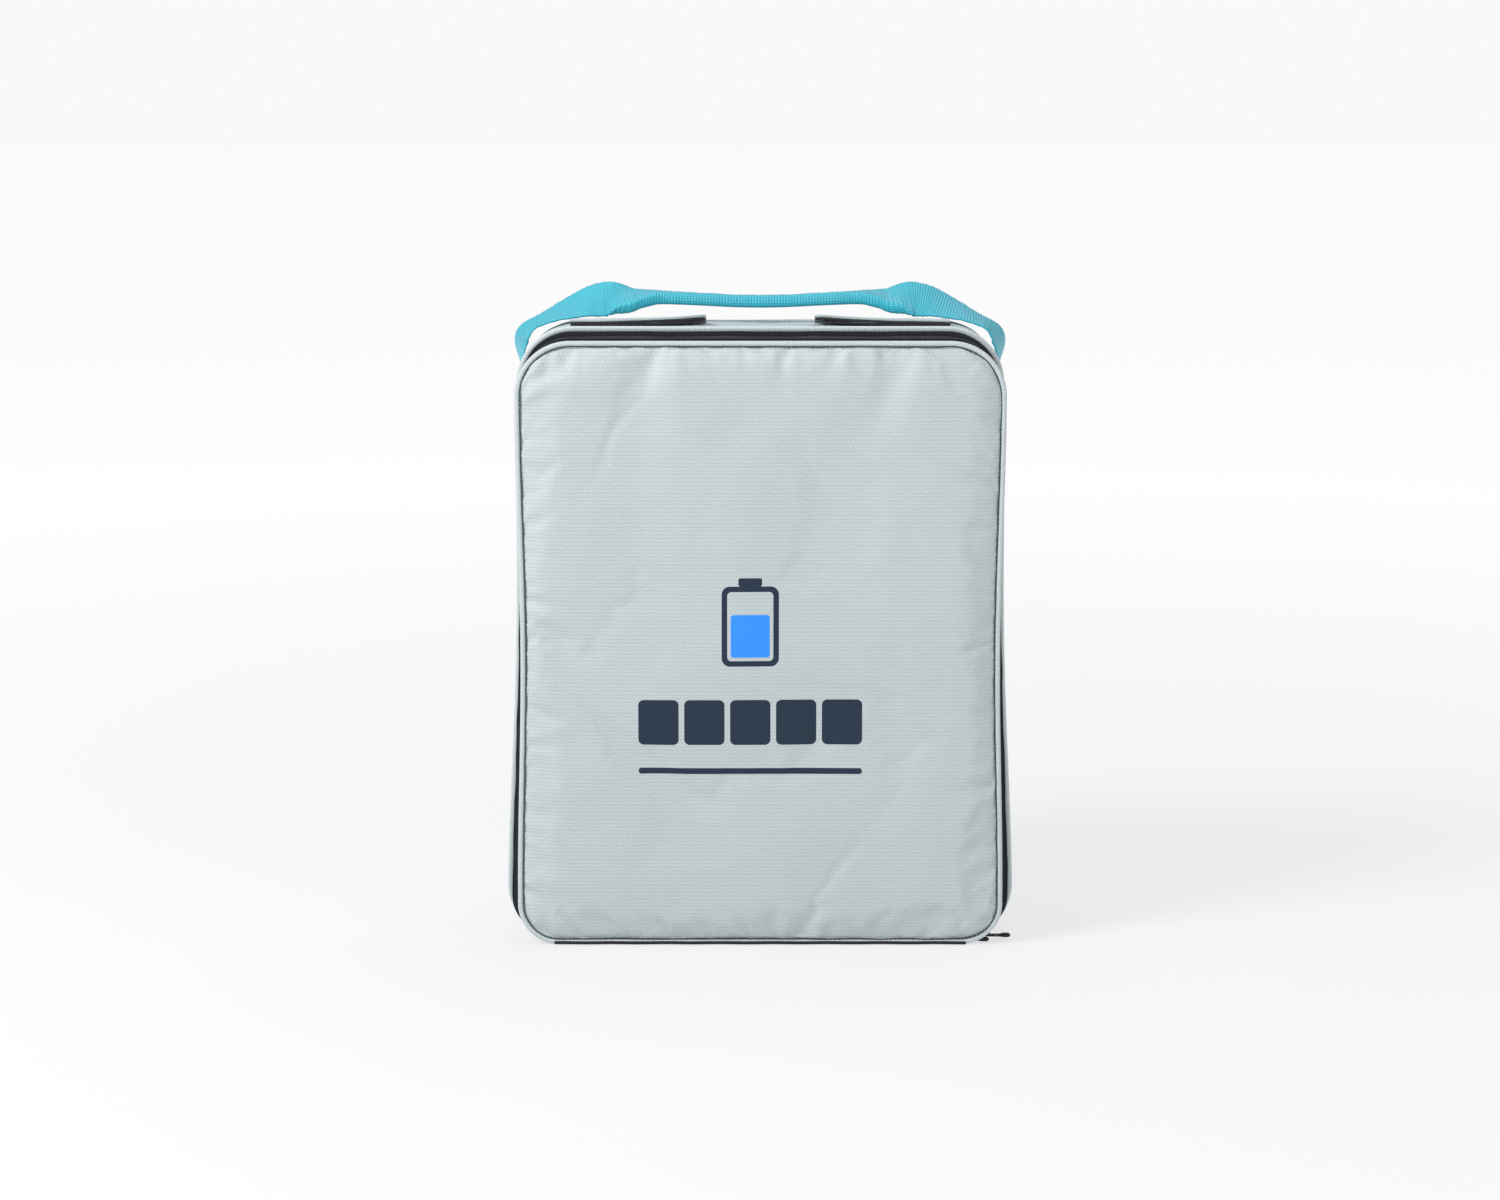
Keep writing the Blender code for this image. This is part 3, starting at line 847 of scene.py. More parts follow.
def make_seam_thread(name, outline, y, body):
    """Stitches that lie in the seam beside the piping."""
    blocks = []
    spots, normals, _ = outline.run(STITCH)
    for spot, normal in zip(spots, normals):
        shift = wander(*spot, PANEL_SEED)
        middle = (spot[0] + shift.x, spot[1] + shift.y)
        blocks.append(seam_block(middle, normal, y, *STITCH_HALF))
    small_blocks(name, blocks, LOOK["seam"], "piping", body)


# ---------------------------------------------------------------- zip

# Places across a zip tape, from its sewn edge to its lip, and how far it stands out at each one.
TAPE_SHARES = (0.0, 0.2, 0.4, 0.6, 0.74, 0.84, 0.92, 1.0)
TAPE_LIFTS = (0.0, 0.0001, 0.0, 0.0, 0.0001, 0.0004, 0.0005, 0.0002)
TAPE_THICK = 0.0014
TAPE_FLANGE = 0.0022  # how far the body's tape goes in behind its lip
TAPE_OVERLAP = 0.0010  # how far the panel's tape goes forward beside the piping
COIL_PITCH = 0.0022
COIL_INSET = 0.0024  # from the track to the coils
COIL_HALF = (0.00036, 0.00055)  # half of a coil turn's length and width


def make_tape(name, track, sewn_y, lip_y, flange, body, node):
    """One woven tape of the zip, between two planes. flange is how much deeper it is at its lip."""
    run = track.run(0.0016, track.low - track.r_low - ZIP_RUN_IN)
    across = [sewn_y + (lip_y - sewn_y) * share for share in TAPE_SHARES]

    def section(here):
        sag = 0.00022 * math.sin(run[2][here] * 90) + 0.00012 * math.sin(run[2][here] * 211)
        outer = [(sag * min(1, 4 * k / len(across)) + lift - 0.0001, y)
                 for k, (y, lift) in enumerate(zip(across, TAPE_LIFTS))]
        inner = [(-TAPE_THICK - flange * share ** 2, y) for share, y in zip(TAPE_SHARES, across)]
        return outer + inner[::-1]

    tape = sweep(name, run, section, LOOK["zip"], closed=False)
    place_piece(tape, body, "zip_tape", node)


def make_coil(name, first, near, far, body):
    """One half of the coil: every second turn along the track, so that both halves mesh."""
    track = PANEL_TRACK.changed(inset=COIL_INSET)
    spots, normals, _ = track.run(COIL_PITCH / 2, track.low - track.r_low - ZIP_RUN_IN)
    blocks = [seam_block(spot, normal, (near + far) / 2, *COIL_HALF, (far - near) / 2)
              for spot, normal in list(zip(spots, normals))[first::2]]
    small_blocks(name, blocks, LOOK["coil"], "zip_tape", body)


def make_zip():
    """Both halves of the zip: woven tapes, a lip along the closed edge, and the coils that mesh inside."""
    make_tape("zip_tape_panel_cloth", PANEL_TRACK, ZIP_FRONT_Y - TAPE_OVERLAP, ZIP_MEET_Y, 0.0,
              "front_panel", "zip_tape_panel")
    low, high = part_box("zip_tape_body")
    make_tape("zip_tape_body_cloth", ZIP_TRACK, high.y, low.y, TAPE_FLANGE, "root", "zip_tape_body")
    make_coil("zip_coil_panel", 0, ZIP_MEET_Y - 0.0024, ZIP_MEET_Y + 0.0004, "front_panel")
    make_coil("zip_coil_body", 1, ZIP_MEET_Y - 0.0001, ZIP_MEET_Y + 0.0027, "root")


def make_binding():
    """The ribbed ribbon folded over the body's raw edge. Its front edge is finely toothed."""
    run = BODY.run(0.00065, BODY.low - BODY.r_low)
    front = BINDING_FRONT_Y
    back = RIM_Y - GAP

    def section(here):
        """From the rear edge outside, over the fold at the front, to the rear edge inside."""
        tooth = 0.0005 * (here % 2)
        return [
            (0.0004, back), (0.0009, back - 0.0010), (0.0010, front + 0.0014), (0.0006, front + 0.0003),
            (-0.0004, front - 0.0003 - tooth), (-0.0022, front - 0.0004 - tooth),
            (-0.0030 - tooth, front + 0.0001), (-0.0032, front + 0.0012), (-0.0031, back - 0.0005),
            (-0.0028, back),
        ]

    ribbon = sweep("rim_binding_ribbon", run, section, LOOK["binding"], closed=False)
    place_piece(ribbon, "root", "binding", "rim_binding")


# The run past the CAD strip carries the black band along the floor: partly tape, partly painted contact
# shadow.
HINGE_BEYOND = 0.015  # how far the hinge tape goes on past the CAD strip at each end
HINGE_THICK = 0.0021


def make_hinge_cloth():
    """The strip of tape that joins the bottom of the panel to the body, and the tabs at its ends. Its black
    front on the floor under the piping, and its run past the CAD strip, are partly the real tape and partly a
    painted contact shadow.
    """
    low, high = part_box("hinge_strip")
    front = SEAM_Y - PIPING_R - 0.0014

    def place(u, v, h):
        """It comes down from the body to the floor, and ends under the piping as a black band that is partly
        tape and partly painted contact shadow.
        """
        fall = float(ease(v, high.y - 0.002, high.y - 0.010))
        return (u, v, h - (low.z - 0.0003) * fall + 0.0001 * math.sin(u * 160) * fall)

    strip = slab("hinge_tape_and_painted_shadow", steps(low.x - HINGE_BEYOND, high.x + HINGE_BEYOND, 0.006),
                 steps(front, high.y, 0.002), place, low.z, low.z + HINGE_THICK, LOOK["zip"])
    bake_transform(strip)
    place_piece(strip, None, "zip_tape", "hinge_strip")
    for side in ("left", "right"):
        node = f"zip_end_tab_{side}"
        low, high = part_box(node)
        tab = slab(f"{node}_cloth", steps(low.x, high.x, 0.001), steps(low.y + PIPING_ROOM, high.y, 0.001),
                   lambda u, v, h: (u, v, h), low.z, high.z, LOOK["zip"], 0.0008)
        place_piece(tab, "root", "zip_tape", node)


# ---------------------------------------------------------------- walls

FLAP_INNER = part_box("cable_flap_right")[0].x
FLAP_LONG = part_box("cable_flap_right")[1].x - FLAP_INNER
WALL_PUFF = 0.0006  # how far the padded walls stand out everywhere,
LOW_PUFF = 0.0024  # how much more low down,
TOP_PUFF = 0.0012  # and how much more on top
FLAP_SWELL = 0.0015  # height of the swell under each flap's front edge
HANDLE_DENT = 0.0028  # how deep the handle's sewn ends press in


def wall_rise(x, y, z, at):
    """How far the padded wall stands out: fuller low down, nearly flat beside the handle's ends."""
    depth = (y - RIM_Y) / (BACK_Y - RIM_Y)
    across = 1 - abs(2 * depth - 1) ** 3
    low = 1 - float(ease(z, 0.10, 0.34))
    top = float(ease(z, BODY_TOP - 0.03, BODY_TOP - 0.004))
    full = WALL_PUFF + LOW_PUFF * low + TOP_PUFF * top
    floor = float(ease(z, 0.0, 0.022))
    soft = noise.noise(Vector((at / 0.07, y / 0.05, 2.0))) * 0.0010
    fine = noise.noise(Vector((at / 0.018, y / 0.035, 7.0))) * 0.0004
    calm = 1 - 0.8 * float(ease(z, 0.29, 0.33)) * (1 - top)
    return (full * across + (soft + fine) * across * calm) * floor + flap_ridge(x, y) * top


def flap_ridge(x, y):
    """The swell of the top under the front edge of each flap, highest at the flap's inner end."""
    away = abs(x) - FLAP_INNER
    inward = math.exp(-(away / 0.012) ** 2) if away < 0 else max(0.0, 1 - away / FLAP_LONG) ** 2
    ahead = float(ease(y, RIM_Y + 0.003, -0.056)) * (1 - float(ease(y, -0.051, -0.045)))
    return FLAP_SWELL * inward * ahead


def handle_dent(y, z):
    """How far each sewn end of the handle pulls the padded wall in."""
    beside = 1 - float(ease(abs(y), 0.024, 0.034))
    return HANDLE_DENT * float(ease(z, 0.306, 0.324)) * (1 - float(ease(z, 0.425, 0.440))) * beside


def wall_skin():
    """The walls' closed shell from one end of the base to the other: its sections, one after another."""
    open_half = BODY.low - BODY.r_low
    spots, normals, at = BODY.run(0.003, open_half)
    far_line, _, _ = BODY_BACK.run(0.003, open_half)
    far_spots = points_along(far_line, np.linspace(0, line_lengths(far_line)[-1], len(spots)))
    columns = np.linspace(RIM_Y, BACK_Y, 46)
    points, weave = [], []
    for near, far, normal, along in zip(spots, far_spots, normals, at):
        for outside, row in ((True, columns), (False, columns[::-1])):
            for y in row:
                share = (y - RIM_Y) / (BACK_Y - RIM_Y)
                x, z = near * (1 - share) + far * share
                out = (wall_rise(x, y, z, along) if outside else -SHELL) - handle_dent(y, z)
                points.append((x + normal[0] * out, y, max(0.0, z + normal[1] * out)))
                weave.append((y if outside else y + 0.3, along))
    return points, tube_faces(len(spots), 2 * len(columns), False), weave


def make_walls():
    """Side and top wall in one piece, the base, and the padding and lining behind them."""
    points, faces, weave = wall_skin()
    wall = add_mesh("wall_cloth", points, faces, LOOK["wall"], weave)
    cut_slots(wall)
    place_piece(wall, "root", "wall_fabric", "side_wall_left", "side_wall_right", "top_panel")

    low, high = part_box("base_panel")
    half = BODY.low - BODY.r_low + 0.001
    base = slab("base_cloth", steps(-half, half, 0.004), steps(low.y, high.y, 0.004),
                lambda u, v, h: (u, v, max(h, 0.0)), low.z, high.z, LOOK["wall"])
    place_piece(base, "root", "wall_fabric", "base_panel")
    make_ring_felt()
    make_ring_lining()


def back_drop(normal, y):
    """How far the top has come down towards the back, for a point with this outward normal."""
    return BACK_DROP * max(0.0, normal[1]) * (y - RIM_Y) / (BACK_Y - RIM_Y)


def make_ring_felt():
    """The felt that runs round inside the walls. It gives way where the handle's ends press in."""
    low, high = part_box("gusset_insulation")
    run = BODY.changed(inset=BODY_TOP - high.z).run(0.004)
    thick = high.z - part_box("gusset_liner")[1].z - GAP
    rows = np.linspace(low.y, high.y, 40)

    def section(here):
        z, normal = run[0][here][1], run[1][here]
        outer, inner = [], []
        for y in rows:
            drop = back_drop(normal, y)
            dent = min(thick - 0.0010, 0.0006 + 1.2 * handle_dent(y, z))
            outer.append((-drop - dent, y))
            inner.append((-drop - thick - 0.0002 * math.sin(run[2][here] * 700 + y * 900), y))
        return outer + inner[::-1]

    felt = sweep("wall_felt_pad", run, section, LOOK["felt"])
    cut_slots(felt)
    place_piece(felt, "root", "insulation", "gusset_insulation")


def make_ring_lining():
    """The quilted lining that runs round inside the felt."""
    low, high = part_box("gusset_insulation")
    run = BODY.changed(inset=BODY_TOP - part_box("gusset_liner")[1].z).run(0.0035)
    rows = np.linspace(low.y, high.y, 36)

    def section(here):
        normal, along = run[1][here], run[2][here]
        outer, inner = [], []
        for y in rows:
            drop = back_drop(normal, y)
            edge = float(ease(min(y - low.y, high.y - y), 0.0, 0.008))
            outer.append((-0.0004 - drop, y))
            inner.append((-0.0015 - drop - QUILT_RISE * float(quilt(along, y)) * edge, y))
        return outer + inner[::-1]

    lining = sweep("wall_liner_quilt", run, section, LOOK["liner"])
    cut_slots(lining)
    place_piece(lining, "root", "liner", "gusset_liner")


SLOT_HALF = (0.030, 0.005)  # half of a cable slot's length and width
SLOT_AT = (0.087, -0.041)  # the middle of the right one


def cut_slots(piece):
    """Cuts both cable slots through a layer of the top."""
    cutters = []
    for side in (-1, 1):
        shape = bmesh.new()
        place = Matrix.Translation((side * SLOT_AT[0], SLOT_AT[1], BODY_TOP))
        size = Matrix.Diagonal((2 * SLOT_HALF[0], 2 * SLOT_HALF[1], 0.05, 1.0))
        bmesh.ops.create_cube(shape, size=1.0, matrix=place @ size)
        mesh = bpy.data.meshes.new("slot_cutter")
        shape.to_mesh(mesh)
        shape.free()
        cutters.append(link("slot_cutter", mesh))
        cut = piece.modifiers.new("slot", "BOOLEAN")
        cut.operation = "DIFFERENCE"
        cut.object = cutters[-1]
    bpy.context.view_layer.update()
    apply_modifiers(piece)
    for cutter in cutters:
        bpy.data.objects.remove(cutter)


def make_slot_bindings():
    """The ribbon sewn round the edge of each cable slot."""
    ring = Outline(SLOT_HALF[0], SLOT_HALF[0], -SLOT_HALF[1], SLOT_HALF[1], 0.0015, 0.0015)
    run = ring.run(0.0012)
    sides = 8
    faces = tube_faces(len(run[0]), sides, True)
    for side, name in ((-1, "left"), (1, "right")):
        points, weave = [], []
        for spot, normal, along in zip(*run):
            for k in range(sides):
                angle = 2 * math.pi * k / sides
                out = 0.0001 + 0.0008 * math.cos(angle)
                x = side * SLOT_AT[0] + spot[0] + out * normal[0]
                y = SLOT_AT[1] + spot[1] + out * normal[1]
                points.append((x, y, BODY_TOP - 0.0006 + 0.0009 * math.sin(angle)))
                weave.append((along, 0.001 * k))
        ribbon = add_mesh(f"cable_slot_binding_{name}", points, faces, LOOK["binding"], weave)
        place_piece(ribbon, "root", "binding")


def make_back():
    """The padded back wall with its piping, stitches, felt and lining."""
    cloth_edge = BODY_BACK.changed(inset=2 * PIPING_R + 0.0004)
    grid = patch(cloth_edge, 0.0032)
    rise = padded_front(grid[0], cloth_edge, BACK_SEED, (), puff=0.0028, crown=0.0022)
    count = len(rise)
    front = np.full(count, BACK_Y + GAP)
    cloth = plate("back_cloth", grid, front, BACK_Y + 0.0030 + rise, LOOK["wall"])
    held = list(range(count)) + [p + count for p in grid[2]]
    settle(cloth, held, pressure=1.0, reach=0.0018, outward=1)
    place_piece(cloth, "root", "wall_fabric", "back_outer")
    low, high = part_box("back_piping")
    seam_y = (low.y + high.y) / 2
    make_piping("back_piping_cord", BODY_BACK.changed(inset=PIPING_R), seam_y, "root", "back_piping")
    seam = BODY_BACK.changed(inset=2 * PIPING_R + 0.0002)
    make_seam_thread("back_seam_thread", seam, seam_y + 0.0006, "root")
    inner = BODY_BACK.changed(inset=0.0030)
    felt_plate("back_felt_pad", inner, 0.006, 0.0, "root", "back_insulation")
    low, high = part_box("back_liner")
    quilted_plate("back_liner_quilt", inner, low.y + 0.0002, high.y, -1, "root", "back_liner")


# ---------------------------------------------------------------- cable flaps

CORNER_R = 0.005  # of each flap's front inner corner


FLAP_CURL = 0.0034  # how far that corner curls up
FLAP_SINK = 0.0024  # how far the flap's rear edge is sewn down into the top


def make_flaps():
    """Two flaps that curl up a little at their inner ends, with hook tape under them and loop tape below."""
    for side, name in ((-1, "left"), (1, "right")):
        make_flap(side, name)


def make_flap(side, name):
    """One flap with its tapes, their bristles and the stitches."""
    low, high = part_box(f"cable_flap_{name}")
    inner_x, outer_x = (high.x, low.x) if side < 0 else (low.x, high.x)
    width = high.x - low.x

    def lift(u, v):
        """How far the flap stands above its flat place."""
        inward = 1 - abs(u - inner_x) / width
        forward = (high.y - v) / (high.y - low.y)
        curl = FLAP_CURL * max(0.0, inward) ** 2.0 * forward
        sink = FLAP_SINK * (1 - forward) ** 2
        return curl - sink + 0.0004 * noise.noise(Vector((u / 0.02, v / 0.02, 3.0)))

    def loop_lift(u, v):
        """The loop tape on the top follows the flap above it."""
        return 0.0004 + max(0.0, 0.75 * lift(u, v))

    def place(u, v, h):
        """Lifts a point with the flap, and rounds the flap's front inner corner."""
        short = CORNER_R - min(CORNER_R, v - low.y)
        cut = CORNER_R - math.sqrt(CORNER_R ** 2 - short ** 2)
        return (outer_x + (u - outer_x) * (1 - cut / width), v, h + lift(u, v))

    flap = slab(f"cable_flap_{name}_cloth", steps(low.x, high.x, 0.003), steps(low.y, high.y, 0.002), place,
                low.z, high.z + 0.0006, LOOK["wall"], 0.0011)
    place_piece(flap, f"flap_{name}", "wall_fabric", f"cable_flap_{name}")
    make_fastener("hook", name, place, lift, -1, f"flap_{name}")
    make_fastener("loop", name, lambda u, v, h: (u, v, h + loop_lift(u, v)), loop_lift, 1, "root")
    make_flap_stitches(name, low, high, lift)


def make_fastener(kind, side_name, place, lift, facing, body):
    """A strip of hook or loop tape with its bristles. facing is the way that they stand, 1 up or -1 down."""
    node = f"{kind}_strip_{side_name}"
    low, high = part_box(node)
    tape = slab(f"{kind}_tape_{side_name}", steps(low.x, high.x, 0.003), steps(low.y, high.y, 0.001), place,
                low.z, high.z, LOOK["hook"])
    place_piece(tape, body, "hook_and_loop", node)
    make_bristles(f"{kind}_bristles_{side_name}", low, high, lift, facing, body)


BRISTLE_PITCH = (0.0015, 0.0012)  # along and across the tape
BRISTLE_FOOT = (-0.0002, 0.00016)  # height, and half width there
BRISTLE_TIP = (0.0003, 0.00009)


def make_bristles(name, low, high, lift, facing, body):
    """The short stiff hooks on a tape, in uneven rows."""
    draw = random.Random(len(name))
    base = low.z if facing < 0 else high.z
    blocks = []
    for u in np.arange(low.x + 0.001, high.x - 0.001, BRISTLE_PITCH[0]):
        for v in np.arange(low.y + 0.0008, high.y - 0.0008, BRISTLE_PITCH[1]):
            x = u + draw.uniform(-0.0003, 0.0003)
            y = v + draw.uniform(-0.0003, 0.0003)
            lean = draw.uniform(-0.0002, 0.0002)
            z = base + lift(x, y)
            blocks.append([
                (x + a * half + shift, y + b * half, z + facing * height)
                for (height, half), shift in ((BRISTLE_FOOT, 0.0), (BRISTLE_TIP, lean))
                for a in (-1, 1) for b in (-1, 1)
            ])
    small_blocks(name, blocks, LOOK["hook"], "hook_and_loop", body)


def make_flap_stitches(name, low, high, lift):
    """The row of stitches that holds a flap's rear edge, and the row that holds its tape."""
    blocks = []
    for v in (high.y - 0.002, low.y + 0.0085):
        for u in np.arange(low.x + 0.004, high.x - 0.004, STITCH):
            middle = (u, v, high.z + lift(u, v) + 0.00005)
            blocks.append(block(middle, (0.0012, 0, 0), (0, 0.00025, 0), (0, 0, 0.00015)))
    small_blocks(f"cable_flap_{name}_stitches", blocks, LOOK["grey"], "wall_fabric", f"flap_{name}")


# ---------------------------------------------------------------- handle

WEB_WIDE = 0.046
WEB_THICK = 0.0014
BEND_HALF = 0.0022  # half of the width that each bend of the wrapped grip takes
# Each bend of the grip: how far it is past the first one, and its angle in degrees.
GRIP_BENDS = ((0.0, 82), (0.0063, 96), (0.0231, 90))
LEG_OUT = 0.0014  # from the wall to the middle of the webbing
LEG_REAR_Y = 0.0225
UNFOLDED = -0.004  # the first bend is this far off the webbing's edge, so it stays flat
# The webbing's rear edge from its sewn end up to the middle of the grip: x, z, y, its tilt in degrees
# (its front edge is lower), and the width at the front that is wrapped down, under and up again.
HANDLE_STATIONS = (
    *((BODY.side(z) + LEG_OUT, z, LEG_REAR_Y, 0, UNFOLDED) for z in (0.326, 0.356, 0.385, 0.402)),
    (0.1758, 0.4110, LEG_REAR_Y, 2, UNFOLDED), (0.1775, 0.4190, LEG_REAR_Y, 6, UNFOLDED),
    (0.1797, 0.4260, LEG_REAR_Y, 11, UNFOLDED), (0.1808, 0.4325, LEG_REAR_Y, 14, UNFOLDED),
    (0.1799, 0.4385, LEG_REAR_Y, 15, UNFOLDED), (0.1766, 0.4434, LEG_REAR_Y, 14, UNFOLDED),
    (0.1718, 0.4468, LEG_REAR_Y, 11, UNFOLDED), (0.1660, 0.4497, LEG_REAR_Y, 7, UNFOLDED),
    (0.1590, 0.4536, 0.0226, 8, UNFOLDED), (0.1500, 0.4592, 0.0231, 12, UNFOLDED),
    (0.1400, 0.4650, 0.0232, 18, UNFOLDED), (0.1280, 0.4715, 0.0228, 25, UNFOLDED),
    (0.1170, 0.4748, 0.0220, 28, UNFOLDED),
    (0.1100, 0.4754, 0.0209, 28, -0.0020), (0.1050, 0.4746, 0.0207, 26, 0.0010),
    (0.1000, 0.4730, 0.0206, 21, 0.0045), (0.0940, 0.4706, 0.0206, 13, 0.0080),
    (0.0880, 0.4700, 0.0195, 8, 0.0125), (0.0820, 0.4697, 0.0170, 5, 0.0175),
    (0.0760, 0.4697, 0.0135, 2.5, 0.0230), (0.0690, 0.4693, 0.0105, 1, 0.0275),
    (0.0600, 0.4688, 0.0088, 0, 0.0291), (0.0400, 0.4677, 0.0085, -1, 0.0291),
    (0.0200, 0.4667, 0.0085, -1, 0.0291), (0.0000, 0.4663, 0.0085, -1, 0.0291),
)


def smooth_rows(rows, parts):
    """A smooth curve through rows of numbers."""
    rows = np.array(rows, float)
    padded = np.concatenate([rows[:1], rows, rows[-1:]])
    made = []
    for a, b, c, d in zip(padded, padded[1:], padded[2:], padded[3:]):
        for part in range(parts):
            t = part / parts
            made.append(0.5 * (2 * b + (c - a) * t + (2 * a - 5 * b + 4 * c - d) * t * t
                               + (3 * b - a - 3 * c + d) * t ** 3))
    return np.array(made + [rows[-1]])


def make_handle():
    """One length of webbing: sewn to the side walls, flat over the corners, a wrapped tube at the grip."""
    half = smooth_rows(HANDLE_STATIONS, 8)
    mirrored = half[::-1][1:].copy()
    mirrored[:, 0] *= -1
    rows = np.concatenate([half, mirrored])
    draw = random.Random(8)
    columns = np.linspace(0.0, WEB_WIDE, 41)
    size = len(columns)
    points, weave, faces = [], [], []
    along = 0.0
    for here, (x, z, y, tilt, folded) in enumerate(rows):
        before = rows[max(here - 1, 0)]
        after = rows[min(here + 1, len(rows) - 1)]
        along += math.dist(before[:2], rows[here][:2])
        step = (after - before)[:2]
        step /= np.linalg.norm(step)
        edge = 0.00015 * math.sin(along * 5200) + draw.uniform(-0.00005, 0.00005)
        for k, (back, up) in enumerate(web_section(columns, math.radians(tilt), folded)):
            out = up + edge * abs(2 * k / (size - 1) - 1) ** 8
            points.append((x + step[1] * out, y - back, z - step[0] * out))
            weave.append((along, columns[k]))
    for here in range(len(rows) - 1):
        for k in range(size - 1):
            a = here * size + k
            faces.append((a, a + 1, a + size + 1, a + size))
    strap = add_mesh("handle_strap", points, faces, LOOK["webbing"], weave)
    thick = strap.modifiers.new("thickness", "SOLIDIFY")
    thick.thickness = WEB_THICK
    thick.offset = 0.0
    thick.use_even_offset = False
    bpy.context.view_layer.update()
    apply_modifiers(strap)
    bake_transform(strap)
    place_piece(strap, None, "webbing", "handle_webbing")
    make_handle_ends()


def web_section(columns, tilt, folded):
    """The webbing seen along the handle: distance forwards from its rear edge, and height, at each column."""
    fold_at = WEB_WIDE - folded
    back, up = 0.0, 0.0
    section = [(0.0, 0.0)]
    fine = 6
    for start, end in zip(columns, columns[1:]):
        for part in range(fine):
            spot = start + (end - start) * (part + 0.5) / fine
            bend = sum(angle * float(ease(spot, fold_at + past - BEND_HALF, fold_at + past + BEND_HALF))
                       for past, angle in GRIP_BENDS)
            heading = -tilt - math.radians(bend)
            length = (end - start) / fine
            back += length * math.cos(heading)
            up += length * math.sin(heading)
        section.append((back, up))
    return section


CROSS_HALF_WIDE = 0.018
CROSS_LOW, CROSS_HIGH = 0.331, 0.372
CROSS_STITCH = 0.0032


def make_handle_ends():
    """The second layer of webbing under each sewn end, and the boxed cross of stitches through both."""
    bottom_x, bottom_z = HANDLE_STATIONS[0][:2]
    top_x, top_z = HANDLE_STATIONS[2][:2]
    corners = ((-CROSS_HALF_WIDE, CROSS_LOW), (CROSS_HALF_WIDE, CROSS_LOW),
               (CROSS_HALF_WIDE, CROSS_HIGH), (-CROSS_HALF_WIDE, CROSS_HIGH))
    lines = [*zip(corners, corners[1:] + corners[:1]), (corners[0], corners[2]), (corners[1], corners[3])]
    for side, name in ((-1, "left"), (1, "right")):
        node = f"handle_end_{name}"
        low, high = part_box(node)

        def place(u, v, h, side=side):
            """A point of the side wall's line: u is y, v is z, and h is outwards."""
            share = (v - bottom_z) / (top_z - bottom_z)
            return (side * (bottom_x + (top_x - bottom_x) * share + h), u, v)

        layer = slab(f"{node}_layer", steps(low.y - 0.001, high.y + 0.001, 0.003),
                     steps(low.z - 0.003, high.z, 0.003), place, -0.0028, -0.0009, LOOK["webbing"])
        place_piece(layer, "root", "webbing", node)
        blocks = []
        for start, end in lines:
            length = math.dist(start, end)
            aim_y, aim_z = (end[0] - start[0]) / length, (end[1] - start[1]) / length
            for at in np.arange(0.001, length - 0.001, CROSS_STITCH):
                middle = (start[0] + aim_y * at, start[1] + aim_z * at, 0.0009)
                long = (0.0011 * aim_y, 0.0011 * aim_z, 0)
                wide = (-0.00028 * aim_z, 0.00028 * aim_y, 0)
                blocks.append([place(*corner) for corner in block(middle, long, wide, (0, 0, 0.0003))])
        small_blocks(f"handle_stitches_{name}", blocks, LOOK["teal"], "webbing", "root")


# ---------------------------------------------------------------- sliders and pulls

def extrude_outline(name, outer, hole, thick, matrix, bevel=0.0002):
    """A flat metal part: an outline, perhaps with a hole, made thick, bevelled and put in place."""
    shape = bmesh.new()
    levels = []
    for h in (0.0, thick):
        levels.append([[shape.verts.new((x, y, h)) for x, y in loop] for loop in (outer, hole) if loop])
    bands = list(zip(*levels))
    if hole:
        bands += levels
    else:
        for level in levels:
            shape.faces.new(level[0])
    for low, high in bands:
        for k in range(len(low)):
            turn = (k + 1) % len(low)
            shape.faces.new((low[k], low[turn], high[turn], high[k]))
    bmesh.ops.recalc_face_normals(shape, faces=shape.faces)
    sharp = [edge for edge in shape.edges if edge.calc_face_angle(0) > 0.8]
    bmesh.ops.bevel(shape, geom=sharp, offset=bevel, segments=2, profile=0.5, affect="EDGES")
    bmesh.ops.transform(shape, matrix=matrix, verts=shape.verts)
    mesh = bpy.data.meshes.new(name)
    shape.to_mesh(mesh)
    shape.free()
    smooth(mesh, METAL_CREASE)
    mesh.materials.append(LOOK["metal"])
    return link(name, mesh)


def oval(half_long, half_wide, count=24, square=3.0, shift=0.0):
    """A rounded outline between an ellipse and a rectangle."""
    made = []
    for k in range(count):
        angle = 2 * math.pi * k / count
        c, s = math.cos(angle), math.sin(angle)
        made.append((shift + half_long * math.copysign(abs(c) ** (2 / square), c),
                     half_wide * math.copysign(abs(s) ** (2 / square), s)))
    return made


def make_slider(which, body, matrix):
    """A slider: shield plate, two side walls and the bridge that holds the pull."""
    half_long, half_wide, thick = 0.0047, 0.0058, 0.0042
    shield = [(x, y * (1.0 - 0.22 * max(0.0, x / half_long))) for x, y in oval(half_long, half_wide, 28, 3.2)]
    parts = [extrude_outline(f"zip_slider_{which}_shield", shield, None, 0.0020,
                             matrix @ Matrix.Translation((0, 0, thick - 0.0030)), 0.0003)]
    wall = oval(half_long * 0.92, 0.0009, 16, 4.0)
    for side in (-1, 1):
        beside = Matrix.Translation((0, side * (half_wide - 0.0011), 0.0001))
        parts.append(extrude_outline("wall", wall, None, 0.0014, matrix @ beside))
    bridge = oval(0.0030, 0.0009, 16, 3.0)
    on_top = Matrix.Translation((0, 0, thick - 0.0014))
    parts.append(extrude_outline("bridge", bridge, None, 0.0014, matrix @ on_top, 0.0003))
    place_piece(join(parts), body, "slider", f"zip_slider_{which}")


def join(parts):
    """Makes several parts one piece, under the first one's name."""
    shape = bmesh.new()
    for part in parts:
        shape.from_mesh(part.data)
    first = parts[0]
    shape.to_mesh(first.data)
    shape.free()
    smooth(first.data, METAL_CREASE)
    for part in parts[1:]:
        bpy.data.objects.remove(part)
    return first


